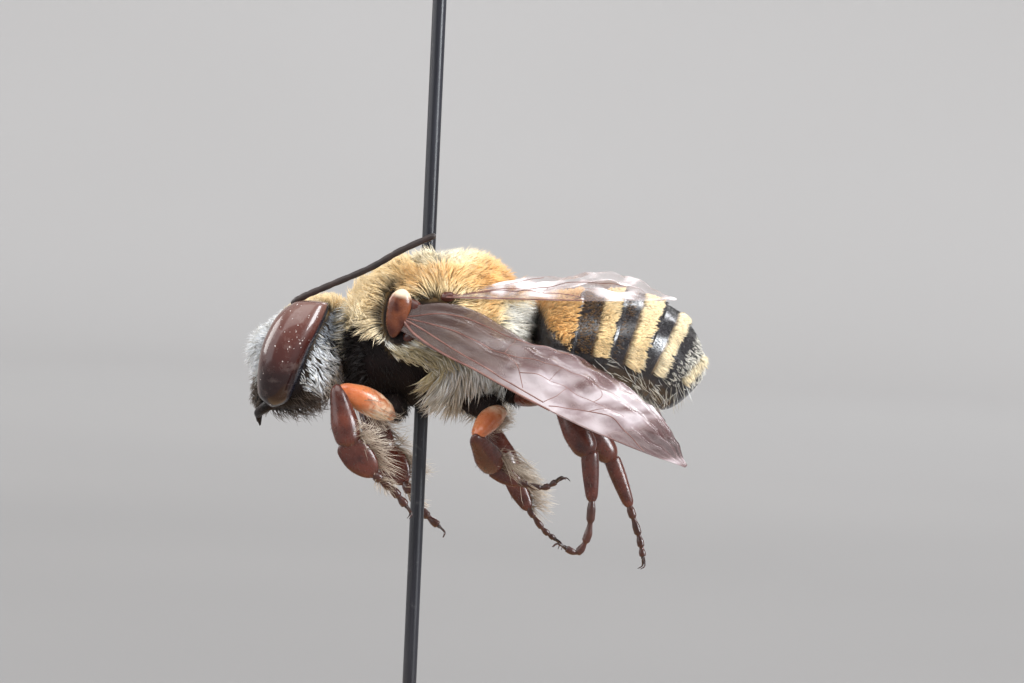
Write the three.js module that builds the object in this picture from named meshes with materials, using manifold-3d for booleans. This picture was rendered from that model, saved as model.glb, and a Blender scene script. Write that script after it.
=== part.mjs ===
// A pinned male leafcutter bee at life size, on a plain round stand. Millimetres, +Z up.
// The pin's axis is the Z axis and the floor is z = 0. The bee faces -X and its left side is -Y.
import * as THREE from "three";
import { mergeVertices } from "three/addons/utils/BufferGeometryUtils.js";
import Module from "manifold-3d";

const wasm = await Module();
wasm.setup();

// ---------------------------------------------------------------- driving dimensions

const BEE_HEIGHT = 23.5; // the bee's own origin, on the pin inside the thorax, above the floor
const PIN_RADIUS = 0.225; // a number 2 insect pin
const PIN_LENGTH = 38;
const PIN_POINT_HEIGHT = 1.5;
const PIN_HEAD_RADIUS = 0.6;
const STAND_RADIUS = 10.5;
const STAND_THICKNESS = 10;
const STAND_EDGE = 0.8; // rounding of the stand's rim
const GAP = 0.02; // left between pieces that touch
const SMOOTHING = 0.012; // how far a cut piece's surface may move to lose slivers
const WING_THICKNESS = 0.5;
const FEELER_RADIUS = 0.25;
const TOE_RADIUS = 0.26;

// Sides: the bee's left is towards -Y.
const SIDES = { left: -1, right: 1 };

// ---------------------------------------------------------------- materials

const finish = (color, roughness, metalness = 0) =>
  new THREE.MeshStandardMaterial({ color, roughness, metalness });
const MATERIALS = {
  goldFur: finish("#d8bd84", 0.9),
  blackCuticle: finish("#2a2022", 0.45),
  bandedFur: finish("#c9a768", 0.85),
  eye: finish("#4f2b28", 0.2),
  feeler: finish("#35292a", 0.5),
  tegula: finish("#8a4526", 0.3),
  wing: finish("#b9a6a0", 0.3),
  amberLeg: finish("#c26a35", 0.35),
  redLeg: finish("#5e2a22", 0.4),
  fringe: finish("#cfc2a2", 0.8),
  toe: finish("#3f2722", 0.45),
  pin: finish("#33363f", 0.35, 0.8),
  pinHead: finish("#c79a4b", 0.35, 0.9),
  wood: finish("#c9a578", 0.6),
};

// ---------------------------------------------------------------- solids and booleans

// A geometry as a manifold solid, with its faces turned outwards.
function solidOf(geometry) {
  const bare = geometry.index ? geometry.toNonIndexed() : geometry.clone();
  for (const name of Object.keys(bare.attributes)) {
    if (name !== "position") bare.deleteAttribute(name);
  }
  const merged = mergeVertices(bare, 1e-4);
  const vertProperties = new Float32Array(merged.attributes.position.array);
  const triVerts = new Uint32Array(merged.index.array);
  const made = new wasm.Manifold(new wasm.Mesh({ numProp: 3, vertProperties, triVerts }));
  if (made.volume() > 0) return made;
  return new wasm.Manifold(
    new wasm.Mesh({ numProp: 3, vertProperties, triVerts: triVerts.reverse() }),
  );
}

function geometryOf(solid) {
  const mesh = solid.getMesh();
  return new THREE.BufferGeometry()
    .setAttribute("position", new THREE.BufferAttribute(mesh.vertProperties, 3))
    .setIndex(new THREE.BufferAttribute(mesh.triVerts, 1));
}

// The solid swollen by the gap on every side, to cut its neighbours with.
function swollen(solid, gap = GAP) {
  const { min, max } = solid.boundingBox();
  const centre = min.map((low, axis) => (low + max[axis]) / 2);
  const grow = min.map((low, axis) => 1 + (2 * gap) / (max[axis] - low));
  return solid
    .translate(centre.map((value) => -value))
    .scale(grow)
    .translate(centre);
}

// What is left of a solid once its neighbours, with a gap round them, are cut out of it.
function cutBy(solid, ...neighbours) {
  let left = solid;
  for (const neighbour of neighbours) left = left.subtract(swollen(neighbour));
  const parts = left.simplify(SMOOTHING).decompose();
  return parts.reduce((most, part) => (part.volume() > most.volume() ? part : most));
}

function warp(geometry, moved) {
  const position = geometry.attributes.position;
  const point = new THREE.Vector3();
  for (let i = 0; i < position.count; i += 1) {
    const to = moved(point.fromBufferAttribute(position, i));
    position.setXYZ(i, to.x, to.y, to.z);
  }
  return geometry;
}

// ---------------------------------------------------------------- rounded bodies

// A smooth value along a row of evenly spaced values, at t from 0 to 1.
function along(values, t) {
  const curve = new THREE.CatmullRomCurve3(values.map((value) => new THREE.Vector3(value, 0, 0)));
  curve.curveType = "catmullrom";
  return curve.getPoint(t).x;
}

// A body is a stack of ovals. Each station gives the oval's two ends in the side view,
// (x, z) of its underside and of its back, and its half width in Y.
class Body {
  constructor(stations) {
    const side = (x, z) =>
      new THREE.CatmullRomCurve3(stations.map((row) => new THREE.Vector3(row[x], 0, row[z])));
    this.under = side(0, 1);
    this.back = side(2, 3);
    this.halfWidths = stations.map((row) => row[4]);
  }

  // The point at t along the body, at an angle round the oval, and at a share of its radius.
  at(t, angle, share = 1) {
    const low = this.under.getPoint(t);
    const high = this.back.getPoint(t);
    const halfWidth = Math.max(0, along(this.halfWidths, t));
    const point = new THREE.Vector3().lerpVectors(low, high, 0.5 + 0.5 * share * Math.sin(angle));
    point.y = share * halfWidth * Math.cos(angle);
    return point;
  }

  whole(around, rows) {
    const ball = new THREE.SphereGeometry(1, around, rows);
    return solidOf(
      warp(ball, (p) => this.at(Math.acos(Math.max(-1, Math.min(1, p.y))) / Math.PI, Math.atan2(p.x, p.z))),
    );
  }

  // The length of the body between two stations, with flat ends.
  slice(start, end, around, rows) {
    const drum = new THREE.CylinderGeometry(1, 1, 1, around, rows);
    return solidOf(
      warp(drum, (p) =>
        this.at(
          THREE.MathUtils.lerp(start, end, 0.5 - p.y),
          Math.atan2(p.x, p.z),
          Math.min(1, Math.hypot(p.x, p.z)),
        ),
      ),
    );
  }
}

// underside x, z, back x, z, half width: out to the tips of the coat.
const HEAD = new Body([
  [-4.75, -3.0, -4.75, -3.0, 0],
  [-5.35, -2.8, -3.75, -3.0, 1.05],
  [-5.62, -2.1, -2.95, -2.35, 1.6],
  [-5.75, -1.25, -2.58, -1.25, 1.9],
  [-5.6, -0.4, -2.55, -0.2, 1.95],
  [-5.0, 0.35, -2.5, 0.62, 1.7],
  [-4.35, 0.77, -2.75, 1.02, 1.15],
  [-3.65, 1.03, -3.65, 1.03, 0],
]);
const THORAX = new Body([
  [-2.48, -0.5, -2.48, -0.5, 0],
  [-2.33, -1.6, -2.48, 0.95, 1.5],
  [-1.7, -2.45, -1.85, 1.8, 2.2],
  [-0.5, -2.68, -0.7, 2.38, 2.58],
  [0.8, -2.55, 0.7, 2.74, 2.65],
  [2.1, -2.3, 2.0, 2.5, 2.35],
  [2.95, -1.75, 2.8, 1.4, 1.8],
  [3.25, -1.0, 3.22, 0.3, 1.1],
  [3.3, -0.35, 3.3, -0.35, 0],
]);
const ABDOMEN = new Body([
  [3.36, -0.35, 3.36, -0.35, 0],
  [3.55, -1.0, 3.48, 0.4, 1.0],
  [3.95, -1.6, 3.85, 1.25, 1.9],
  [5.0, -1.9, 4.9, 1.62, 2.4],
  [6.1, -2.05, 6.2, 1.75, 2.5],
  [6.9, -2.1, 7.5, 1.55, 2.35],
  [7.3, -2.15, 8.45, 0.85, 2.0],
  [7.5, -2.25, 9.1, -0.1, 1.6],
  [7.6, -2.4, 9.25, -1.0, 1.15],
  [7.75, -2.5, 8.75, -1.85, 0.7],
  [8.15, -2.45, 8.15, -2.45, 0],
]);
const ABDOMEN_JOINTS = [0, 0.31, 0.4, 0.5, 0.6, 0.72, 1]; // where each tergite ends

// ---------------------------------------------------------------- limbs

// A turned spindle between two points: its radii are spaced evenly along it, and both ends are
// rounded. It is flattened to the share flat across the direction wide, and it starts a little
// before its first point, inside the piece it grows from.
function limb({ from, to, radii, flat = 1, wide = [0, 0, 1], root = 0, sides = 8, rows = 6 }) {
  const start = new THREE.Vector3(...from);
  const direction = new THREE.Vector3(...to).sub(start).normalize();
  start.addScaledVector(direction, -root);
  const length = start.distanceTo(new THREE.Vector3(...to));
  const profile = [];
  for (let row = 0; row <= rows; row += 1) {
    const t = (1 - Math.cos((Math.PI * row) / rows)) / 2;
    const endRounding = Math.pow(1 - Math.pow(Math.abs(2 * t - 1), 5), 1 / 2.5);
    const radius = row === 0 || row === rows ? 0 : along(radii, t) * endRounding;
    profile.push(new THREE.Vector2(radius, t * length));
  }
  const across = new THREE.Vector3(...wide);
  across.addScaledVector(direction, -across.dot(direction)).normalize();
  const thin = new THREE.Vector3().crossVectors(across, direction);
  const place = new THREE.Matrix4()
    .makeBasis(across, direction, thin.multiplyScalar(flat))
    .setPosition(start);
  return solidOf(new THREE.LatheGeometry(profile, sides).applyMatrix4(place));
}

// A tube of even thickness with rounded ends along a smooth curve.
function feeler(points, radius, sides = 7, rows = 14) {
  const curve = new THREE.CatmullRomCurve3(points.map((p) => new THREE.Vector3(...p)));
  const frames = curve.computeFrenetFrames(rows);
  const ball = new THREE.SphereGeometry(1, sides, rows);
  return solidOf(
    warp(ball, (p) => {
      const row = Math.round((Math.acos(Math.max(-1, Math.min(1, p.y))) / Math.PI) * rows);
      const t = row / rows;
      const thick = radius * Math.pow(1 - Math.pow(Math.abs(2 * t - 1), 8), 0.5);
      const angle = Math.atan2(p.x, p.z);
      return curve
        .getPoint(t)
        .addScaledVector(frames.normals[row], thick * Math.cos(angle))
        .addScaledVector(frames.binormals[row], thick * Math.sin(angle));
    }),
  );
}

const mirrored = ([x, y, z], side) => [x, side * y, z];

// ---------------------------------------------------------------- head pieces

const EYE = { centre: [-4.2, 1.5, -0.88], halfSize: [0.76, 0.78, 1.76], lean: 16, converge: 6 };

function eye(side) {
  const { centre, halfSize, lean, converge } = EYE;
  const tilt = new THREE.Euler(
    THREE.MathUtils.degToRad(-side * converge),
    THREE.MathUtils.degToRad(lean),
    0,
    "YXZ",
  );
  const place = new THREE.Matrix4().compose(
    new THREE.Vector3(...mirrored(centre, side)),
    new THREE.Quaternion().setFromEuler(tilt),
    new THREE.Vector3(...halfSize),
  );
  const ball = new THREE.SphereGeometry(1, 14, 10).rotateX(Math.PI / 2);
  return solidOf(ball.applyMatrix4(place));
}

const SCAPE = { socket: [-5.05, 0.42, -0.5], elbow: [-4.5, 0.95, 0.72] };
const FLAGELLUM = [
  [-4.5, 0.95, 0.74],
  [-3.06, 1.3, 1.35],
  [-1.8, 1.6, 1.96],
  [-0.86, 1.8, 2.55],
  [0.26, 1.9, 3.12],
];
const RIGHT_FLAGELLUM_DROP = 0.13; // the right feeler lies a little lower than the left

function flagellum(side) {
  const drop = side === SIDES.right ? RIGHT_FLAGELLUM_DROP : 0;
  const points = FLAGELLUM.map(([x, y, z], i) => [x, side * y, z - (i ? drop : 0)]);
  return feeler(points, FEELER_RADIUS);
}

const MANDIBLE = { base: [-4.6, 1.15, -2.5], tip: [-5.38, 0.2, -3.12] };

// ---------------------------------------------------------------- legs

// Each leg's joints, from the body down: the hip, the femur's base, the knee, the ankle, the end
// of the basitarsus, and the points that the toes pass through on their way to the claws.
const LEGS = {
  front_left: {
    hip: [-0.93, -0.85, -2.2],
    thigh: [-0.9, -1.4, -2.75],
    knee: [-2.66, -2.3, -1.86],
    ankle: [-2.15, -2.4, -3.75],
    instep: [-1.3, -2.2, -4.62],
    toes: [[-0.78, -2.0, -5.02], [-0.28, -1.9, -5.58]],
  },
  front_right: {
    hip: [-0.93, 0.85, -2.2],
    thigh: [-0.85, 1.4, -2.9],
    knee: [-2.1, 2.85, -2.3],
    ankle: [-1.1, 2.4, -4.3],
    instep: [-0.45, 2.25, -5.2],
    toes: [[0.05, 2.1, -5.95], [0.73, 2.0, -6.53]],
  },
  middle_left: {
    hip: [1.5, -1.0, -2.1],
    thigh: [2.55, -1.55, -2.4],
    knee: [1.8, -2.75, -3.2],
    ankle: [2.5, -1.4, -4.31],
    instep: [3.3, -1.35, -4.72],
    toes: [[4.0, -1.5, -4.8], [4.46, -1.65, -4.55]],
  },
  middle_right: {
    hip: [1.5, 1.0, -2.1],
    thigh: [2.5, 1.55, -2.45],
    knee: [2.2, 3.0, -3.1],
    ankle: [3.05, 3.0, -4.95],
    instep: [3.65, 3.0, -5.95],
    toes: [[4.13, 3.0, -6.54], [4.54, 3.1, -6.86]],
  },
  hind_left: {
    hip: [2.75, -0.8, -1.5],
    thigh: [3.1, -1.45, -2.0],
    knee: [4.3, -3.1, -1.7],
    ankle: [5.43, -3.3, -3.6],
    instep: [5.57, -3.2, -5.07],
    toes: [[5.5, -3.1, -6.03], [5.2, -3.0, -6.66], [4.75, -3.0, -6.52]],
  },
  hind_right: {
    hip: [2.75, 0.8, -1.5],
    thigh: [3.1, 1.45, -2.05],
    knee: [4.75, 3.1, -2.1],
    ankle: [6.35, 3.3, -4.23],
    instep: [6.99, 3.4, -5.74],
    toes: [[7.33, 3.4, -6.69], [7.5, 3.4, -7.4]],
  },
};

// Radii along each segment, from its upper to its lower end, and how flat the segment is.
// The front basitarsus is widened into a fringed paddle, and the middle one carries a fringe.
const SEGMENTS = {
  hip: { radii: [0.42, 0.52, 0.45, 0.32], flat: 0.9, material: "blackCuticle" },
  femur: { radii: [0.26, 0.46, 0.46, 0.3], flat: 0.8, material: "amberLeg" },
  tibia: { radii: [0.24, 0.36, 0.47, 0.42], flat: 0.7, material: "redLeg" },
  basitarsus: { radii: [0.26, 0.3, 0.28, 0.27], flat: 0.9, material: "redLeg" },
};
const PADDLES = {
  front: { radii: [0.42, 0.62, 0.6, 0.4], flat: 0.45, material: "fringe" },
  middle: { radii: [0.32, 0.46, 0.44, 0.3], flat: 0.6, material: "fringe" },
};
const OVERRUN = 0.15; // how far a segment reaches back into the one above it
const FEMUR_MATERIAL = { front: "amberLeg", middle: "amberLeg", hind: "redLeg" };

// ---------------------------------------------------------------- wings

// A wing's outline: how far its front and rear edges stand from the line from root to tip, at even
// steps along it. camber lifts its middle out of its plane.
const FOREWING = {
  root: [-0.62, 2.35, 0.42],
  tip: [8.32, 6.3, -3.57],
  chord: [0.465, -0.7, 0.541],
  front: [0.16, 0.42, 0.58, 0.62, 0.55, 0.36, 0.04],
  rear: [0.2, 0.62, 1.2, 1.75, 1.95, 1.35, 0.1],
  camber: 0.35,
};
const HINDWING = {
  root: [0.67, 2.2, 1.2],
  tip: [7.95, 2.42, 1.42],
  chord: [0, -0.92, 0.39],
  front: [0.14, 0.18, 0.2, 0.22, 0.2, 0.14, 0.04],
  rear: [0.2, 0.78, 1.4, 1.8, 1.95, 1.45, 0.1],
  camber: 0.12,
};
const RIGHT_HINDWING_SHIFT = [0, 0.75, -0.32]; // the right hind wing lies under the left one's edge

function wing({ root, tip, chord, front, rear, camber }, side, shift = [0, 0, 0]) {
  const start = new THREE.Vector3(...mirrored(root, side)).add(new THREE.Vector3(...shift));
  const span = new THREE.Vector3(...mirrored(tip, side)).add(new THREE.Vector3(...shift)).sub(start);
  const across = new THREE.Vector3(...mirrored(chord, side));
  across.addScaledVector(span, -across.dot(span) / span.lengthSq()).normalize();
  const up = new THREE.Vector3().crossVectors(span, across).normalize().multiplyScalar(-side);
  const sheet = new THREE.BoxGeometry(1, 1, 1, 10, 3, 1);
  return solidOf(
    warp(sheet, (p) => {
      const t = Math.sin((Math.PI / 2) * (p.x + 0.5));
      const reach = THREE.MathUtils.lerp(-along(front, t), along(rear, t), p.y + 0.5);
      const lift = camber * Math.sin(Math.PI * t) * Math.cos(Math.PI * p.y) + WING_THICKNESS * p.z;
      return start
        .clone()
        .addScaledVector(span, t)
        .addScaledVector(across, reach)
        .addScaledVector(up, lift);
    }),
  );
}

// ---------------------------------------------------------------- pin and stand

function turned(points, sides) {
  const profile = points.map(([radius, height]) => new THREE.Vector2(radius, height));
  return solidOf(new THREE.LatheGeometry(profile, sides).rotateX(Math.PI / 2));
}

const PIN_TOP = PIN_POINT_HEIGHT + PIN_LENGTH;
const PIN_TAPER = 3; // length of the sharpened point

function pinShaft(radius, bottom) {
  const top = PIN_TOP - 2 * PIN_HEAD_RADIUS * 0.7;
  return turned(
    [
      [0, bottom],
      [radius, bottom + PIN_TAPER],
      [radius, top],
      [0, top],
    ],
    12,
  );
}

function pinHead() {
  const bottom = PIN_TOP - 2 * PIN_HEAD_RADIUS * 0.7 + GAP;
  const steps = 6;
  const points = [];
  for (let step = 0; step <= steps; step += 1) {
    const angle = (Math.PI * step) / steps;
    const radius = step === 0 || step === steps ? 0 : PIN_HEAD_RADIUS * Math.sin(angle);
    points.push([radius, bottom + PIN_HEAD_RADIUS * 0.7 * (1 - Math.cos(angle))]);
  }
  return turned(points, 12);
}

function standBase() {
  const rim = [];
  const steps = 3;
  for (let step = 0; step <= steps; step += 1) {
    const angle = (Math.PI * step) / (2 * steps);
    rim.push([
      STAND_RADIUS - STAND_EDGE + STAND_EDGE * Math.cos(angle),
      STAND_THICKNESS - STAND_EDGE + STAND_EDGE * Math.sin(angle),
    ]);
  }
  return turned([[0, 0], [STAND_RADIUS, 0], ...rim, [0, STAND_THICKNESS]], 36);
}

// ---------------------------------------------------------------- assembly

const model = new THREE.Group();
const bee = new THREE.Group();
bee.position.z = BEE_HEIGHT;
model.add(bee);

function addPiece(group, name, solid, material) {
  const mesh = new THREE.Mesh(geometryOf(solid), MATERIALS[material]);
  mesh.name = name;
  group.add(mesh);
  return solid;
}

// The pin passes right through the thorax and into the stand.
const pin = pinShaft(PIN_RADIUS, PIN_POINT_HEIGHT);
const pinInBee = pin.translate([0, 0, -BEE_HEIGHT]);
addPiece(model, "pin_shaft", pin, "pin");
addPiece(model, "pin_head", pinHead(), "pinHead");
const pinHole = pinShaft(PIN_RADIUS + GAP, PIN_POINT_HEIGHT - PIN_TAPER * 0.1);
addPiece(model, "stand_base", standBase().subtract(pinHole), "wood");

// Short pegs join the head and the abdomen to the thorax.
const neck = limb({ from: [-3.0, 0, -0.55], to: [-1.95, 0, -0.45], radii: [0.6, 0.6, 0.6] });
const waist = limb({ from: [2.9, 0, -0.35], to: [3.9, 0, -0.35], radii: [0.45, 0.45, 0.45] });
addPiece(bee, "neck", neck, "blackCuticle");
addPiece(bee, "waist", waist, "blackCuticle");

const tegulae = {};
for (const [sideName, side] of Object.entries(SIDES)) {
  const shell = new THREE.SphereGeometry(1, 10, 7).scale(0.4, 0.36, 0.76);
  shell.rotateY(THREE.MathUtils.degToRad(8)).translate(-0.86, side * 2.36, 0.5);
  tegulae[sideName] = addPiece(bee, `tegula_${sideName}`, solidOf(shell), "tegula");
}

const thorax = cutBy(THORAX.whole(22, 14), pinInBee, neck, waist, ...Object.values(tegulae));
addPiece(bee, "thorax", thorax, "goldFur");

const eyes = { left: eye(SIDES.left), right: eye(SIDES.right) };
addPiece(bee, "eye_left", eyes.left, "eye");
addPiece(bee, "eye_right", eyes.right, "eye");
const head = cutBy(HEAD.whole(20, 12), eyes.left, eyes.right, neck, thorax);
addPiece(bee, "head", head, "goldFur");

for (const [sideName, side] of Object.entries(SIDES)) {
  const socket = mirrored(SCAPE.socket, side);
  const elbow = mirrored(SCAPE.elbow, side);
  const radii = [FEELER_RADIUS, FEELER_RADIUS, FEELER_RADIUS];
  const scape = cutBy(limb({ from: socket, to: elbow, radii, sides: 8 }), head, eyes[sideName]);
  addPiece(bee, `antenna_${sideName}_scape`, scape, "feeler");
  const whip = cutBy(flagellum(side), scape, head, eyes[sideName]);
  addPiece(bee, `antenna_${sideName}_flagellum`, whip, "feeler");
  const jaw = limb({
    from: mirrored(MANDIBLE.base, side),
    to: mirrored(MANDIBLE.tip, side),
    radii: [0.3, 0.34, 0.3, 0.22],
    flat: 0.8,
  });
  addPiece(bee, `mandible_${sideName}`, cutBy(jaw, head, eyes[sideName]), "blackCuticle");
}

// The abdomen's tergites follow each other, each a slice of one smooth body.
const tergites = [];
ABDOMEN_JOINTS.slice(0, -1).forEach((start, i) => {
  const end = ABDOMEN_JOINTS[i + 1];
  const from = i === 0 ? 0.02 : start + 0.002;
  const to = end === 1 ? 0.98 : end - 0.002;
  const slice = cutBy(ABDOMEN.slice(from, to, 22, i === 0 ? 4 : 2), waist, thorax);
  tergites.push(addPiece(bee, `abdomen_${i + 1}`, slice, "bandedFur"));
});

const trunk = [thorax, tergites[0], tergites[1]];
const hips = [];
for (const [legName, leg] of Object.entries(LEGS)) {
  const pair = legName.split("_")[0];
  const segment = (from, to, shape) =>
    limb({ from: leg[from], to: leg[to], root: OVERRUN, wide: [1, 0, 0.6], ...shape });
  const hip = cutBy(segment("hip", "thigh", SEGMENTS.hip), ...trunk, ...hips);
  hips.push(hip);
  const femur = cutBy(segment("thigh", "knee", SEGMENTS.femur), hip, ...trunk);
  const tibia = cutBy(segment("knee", "ankle", SEGMENTS.tibia), femur);
  const shape = PADDLES[pair] ?? SEGMENTS.basitarsus;
  const basitarsus = cutBy(segment("ankle", "instep", shape), tibia, femur);
  const heel = leg.instep.map((value, axis) => THREE.MathUtils.lerp(value, leg.ankle[axis], 0.2));
  const toes = cutBy(feeler([heel, leg.instep, ...leg.toes], TOE_RADIUS, 6, 7), basitarsus);
  addPiece(bee, `leg_${legName}_hip`, hip, SEGMENTS.hip.material);
  addPiece(bee, `leg_${legName}_femur`, femur, FEMUR_MATERIAL[pair]);
  addPiece(bee, `leg_${legName}_tibia`, tibia, SEGMENTS.tibia.material);
  addPiece(bee, `leg_${legName}_basitarsus`, basitarsus, shape.material);
  addPiece(bee, `leg_${legName}_toes`, toes, "toe");
}

for (const [sideName, side] of Object.entries(SIDES)) {
  const around = [thorax, tegulae[sideName], ...tergites];
  const shift = side === SIDES.right ? RIGHT_HINDWING_SHIFT : [0, 0, 0];
  const fore = cutBy(wing(FOREWING, side), ...around);
  const hind = cutBy(wing(HINDWING, side, shift), ...around, fore);
  addPiece(bee, `forewing_${sideName}`, fore, "wing");
  addPiece(bee, `hindwing_${sideName}`, hind, "wing");
}

export default model;
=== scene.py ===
# %% [markdown]
# # A pinned leafcutter bee, life size
# The model is a dried male bee on a black insect pin. It is 15 mm long, so everything is worked out in
# millimetres and turned into metres at the very end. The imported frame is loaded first: its solids say how
# far each part may reach, and every finished piece below takes the place of some of them.

import math

import bpy
import numpy as np
from mathutils import Matrix, Vector
from mathutils.kdtree import KDTree


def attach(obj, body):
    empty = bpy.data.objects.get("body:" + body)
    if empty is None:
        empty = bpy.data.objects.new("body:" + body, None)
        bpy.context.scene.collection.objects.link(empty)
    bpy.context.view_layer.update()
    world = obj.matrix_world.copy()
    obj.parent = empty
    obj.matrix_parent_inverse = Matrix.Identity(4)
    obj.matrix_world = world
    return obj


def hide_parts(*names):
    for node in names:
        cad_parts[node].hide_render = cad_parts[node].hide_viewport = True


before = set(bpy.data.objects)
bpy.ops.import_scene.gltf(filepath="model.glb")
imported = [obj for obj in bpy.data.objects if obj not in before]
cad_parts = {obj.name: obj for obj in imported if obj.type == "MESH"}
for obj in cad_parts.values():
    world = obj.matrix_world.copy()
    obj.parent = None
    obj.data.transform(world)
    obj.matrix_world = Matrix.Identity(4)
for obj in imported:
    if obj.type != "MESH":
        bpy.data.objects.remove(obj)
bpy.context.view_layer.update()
MM = 0.001
BEE_HEIGHT = 23.5  # the bee's own origin, on the pin inside the thorax, above the floor
SIDES = {"left": -1, "right": 1}
dice = np.random.default_rng(2718)

# %% [markdown]
# ## Turning numbers into meshes
# Blender can sculpt, use modifiers or read arrays. An insect is hundreds of smooth small forms and tens of
# thousands of hairs, so here numpy works out all corners and triangles and a mesh is filled in one go. That
# is fast, and each form stays a formula that can be changed. The extra numbers kept on corners, such as how
# far along its hair a corner is, are read by the materials later.


# %% Fill a mesh from arrays
def make_piece(name, corners, triangles, finish, slot, nodes=(), values=None, patches=None):
    """A mesh object from corners in the bee's millimetres. It rides on the one body of the row."""
    mesh = bpy.data.meshes.new(name)
    corners = (np.asarray(corners, float) + (0, 0, BEE_HEIGHT)) * MM
    triangles = np.asarray(triangles, np.int32)
    mesh.vertices.add(len(corners))
    mesh.vertices.foreach_set("co", corners.astype(np.float32).ravel())
    mesh.loops.add(triangles.size)
    mesh.loops.foreach_set("vertex_index", triangles.ravel())
    mesh.polygons.add(len(triangles))
    mesh.polygons.foreach_set("loop_start", np.arange(0, triangles.size, 3, dtype=np.int32))
    for label, numbers in (values or {}).items():
        mesh.attributes.new(label, "FLOAT", "POINT").data.foreach_set("value", numbers.astype(np.float32))
    if patches is not None:
        layer = mesh.uv_layers.new(name="OFBake")
        layer.data.foreach_set("uv", patches[triangles.ravel()].astype(np.float32).ravel())
    mesh.update(calc_edges=True)
    mesh.polygons.foreach_set("use_smooth", np.ones(len(triangles), bool))
    mesh.materials.append(finish)
    piece = bpy.data.objects.new(name, mesh)
    bpy.context.scene.collection.objects.link(piece)
    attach(piece, "root")
    if nodes:
        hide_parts(*nodes)
    print(f"{name}: {len(triangles)} triangles")
    return piece


# %% Join several small forms into one
class Clay:
    """Collects forms, each a pair of corners and triangles, to be made into one piece."""

    def __init__(self):
        self.corners, self.triangles, self.count = [], [], 0

    def add(self, corners, triangles):
        self.corners.append(corners)
        self.triangles.append(np.asarray(triangles) + self.count)
        self.count += len(corners)
        return self

    def make(self, name, finish, slot, nodes=()):
        return make_piece(name, np.vstack(self.corners), np.vstack(self.triangles), finish, slot, nodes)


# %% Smooth curves and soft steps
def smooth(values, t):
    """Reads evenly spaced rows of numbers at t, from 0 to 1, along a smooth curve through them."""
    values = np.asarray(values, float)
    place = np.clip(t, 0, 1) * (len(values) - 1)
    low = np.clip(np.floor(place).astype(int), 0, len(values) - 2)
    f = (place - low).reshape(-1, *[1] * (values.ndim - 1))
    before, here = values[np.maximum(low - 1, 0)], values[low]
    after, beyond = values[low + 1], values[np.minimum(low + 2, len(values) - 1)]
    bend = 2 * before - 5 * here + 4 * after - beyond
    twist = 3 * (here - after) + beyond - before
    return here + 0.5 * f * (after - before + f * (bend + f * twist))


def fade(x, start, end):
    """Goes softly from 0 at start to 1 at end."""
    f = np.clip((np.asarray(x, float) - start) / (end - start), 0, 1)
    return f * f * (3 - 2 * f)


def unit(vectors):
    return vectors / np.maximum(np.linalg.norm(vectors, axis=-1, keepdims=True), 1e-9)


def ripple(points, size, seed):
    """Smooth random waves of about that size, from -1 to 1, the same at each run."""
    waves = np.random.default_rng(seed)
    total = 0
    for _ in range(5):
        direction = unit(waves.normal(size=3)) * 2 * math.pi / (size * waves.uniform(0.7, 1.6))
        total = total + np.sin(points @ direction + waves.uniform(0, 6.28))
    return total / 3


# %% [markdown]
# ## Surfaces with a length and a girth
# The head, thorax, abdomen, eyes and each part of a leg are all skins round a line. Each is written as a
# rule that turns a length t and an angle a into a place. The same rule draws the skin as a grid, gives the
# way out of the surface, and scatters hair roots evenly over it, so coat and skin always agree.


# %% The surface rule
class Surface:
    """A closed skin: place(t, a) gives millimetres for t from 0 to 1 along it and a round it."""

    def __init__(self, place):
        self.place, self.turn = place, 1.0
        t, a = (v.ravel() for v in np.meshgrid(np.linspace(0.1, 0.9, 9), np.linspace(0, 6, 12)))
        corners = place(t, a)
        self.turn = np.sign(np.einsum("ij,ij->", corners - corners.mean(0), self.spread(t, a)[0]))

    def spread(self, t, a, step=2e-3):
        """The way out of the skin at each place, as long as the skin there is wide."""
        along = self.place(np.clip(t + step, 0, 1), a) - self.place(np.clip(t - step, 0, 1), a)
        around = self.place(t, a + step) - self.place(t, a - step)
        cross = np.cross(along, around) * self.turn
        return cross, np.linalg.norm(cross, axis=1)

    def out(self, t, a):
        return unit(self.spread(t, a)[0])

    def grid(self, rows, columns):
        """Corners, triangles, and the t and a of each corner. Rows crowd together at the ends."""
        line = (1 - np.cos(np.pi * np.arange(1, rows) / rows)) / 2
        t, a = np.meshgrid(line, 2 * np.pi * np.arange(columns) / columns, indexing="ij")
        t = np.concatenate([t.ravel(), [0, 1]])
        a = np.concatenate([a.ravel(), [0, 0]])
        i, j = np.meshgrid(np.arange(rows - 2), np.arange(columns), indexing="ij")
        k = (j + 1) % columns
        p, q = (i * columns + j).ravel(), (i * columns + k).ravel()
        r, s = p + columns, q + columns
        rim = np.arange(columns)
        turn = (rim + 1) % columns
        last = (rows - 2) * columns
        low, high = np.full(columns, len(t) - 2), np.full(columns, len(t) - 1)
        triangles = np.vstack(
            [
                np.stack([p, r, q], 1),
                np.stack([q, r, s], 1),
                np.stack([low, rim, turn], 1),
                np.stack([high, last + turn, last + rim], 1),
            ]
        )
        corners = self.place(t, a)
        first = corners[triangles[:, 0]]
        sides = [corners[triangles[:, k]] - first for k in (1, 2)]
        if np.einsum("ij,ij->", first, np.cross(*sides)) < 0:
            triangles = triangles[:, ::-1]
        return corners, triangles, t, a

    def scatter(self, count, density):
        """About count random roots, more where density(places, ways out, t, a) is high."""
        t, a = dice.uniform(0.004, 0.996, 20 * count), dice.uniform(0, 2 * np.pi, 20 * count)
        cross, size = self.spread(t, a)
        weight = size * density(self.place(t, a), unit(cross), t, a)
        keep = dice.uniform(0, 1, len(t)) < weight * count / weight.sum()
        return t[keep], a[keep]


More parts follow.
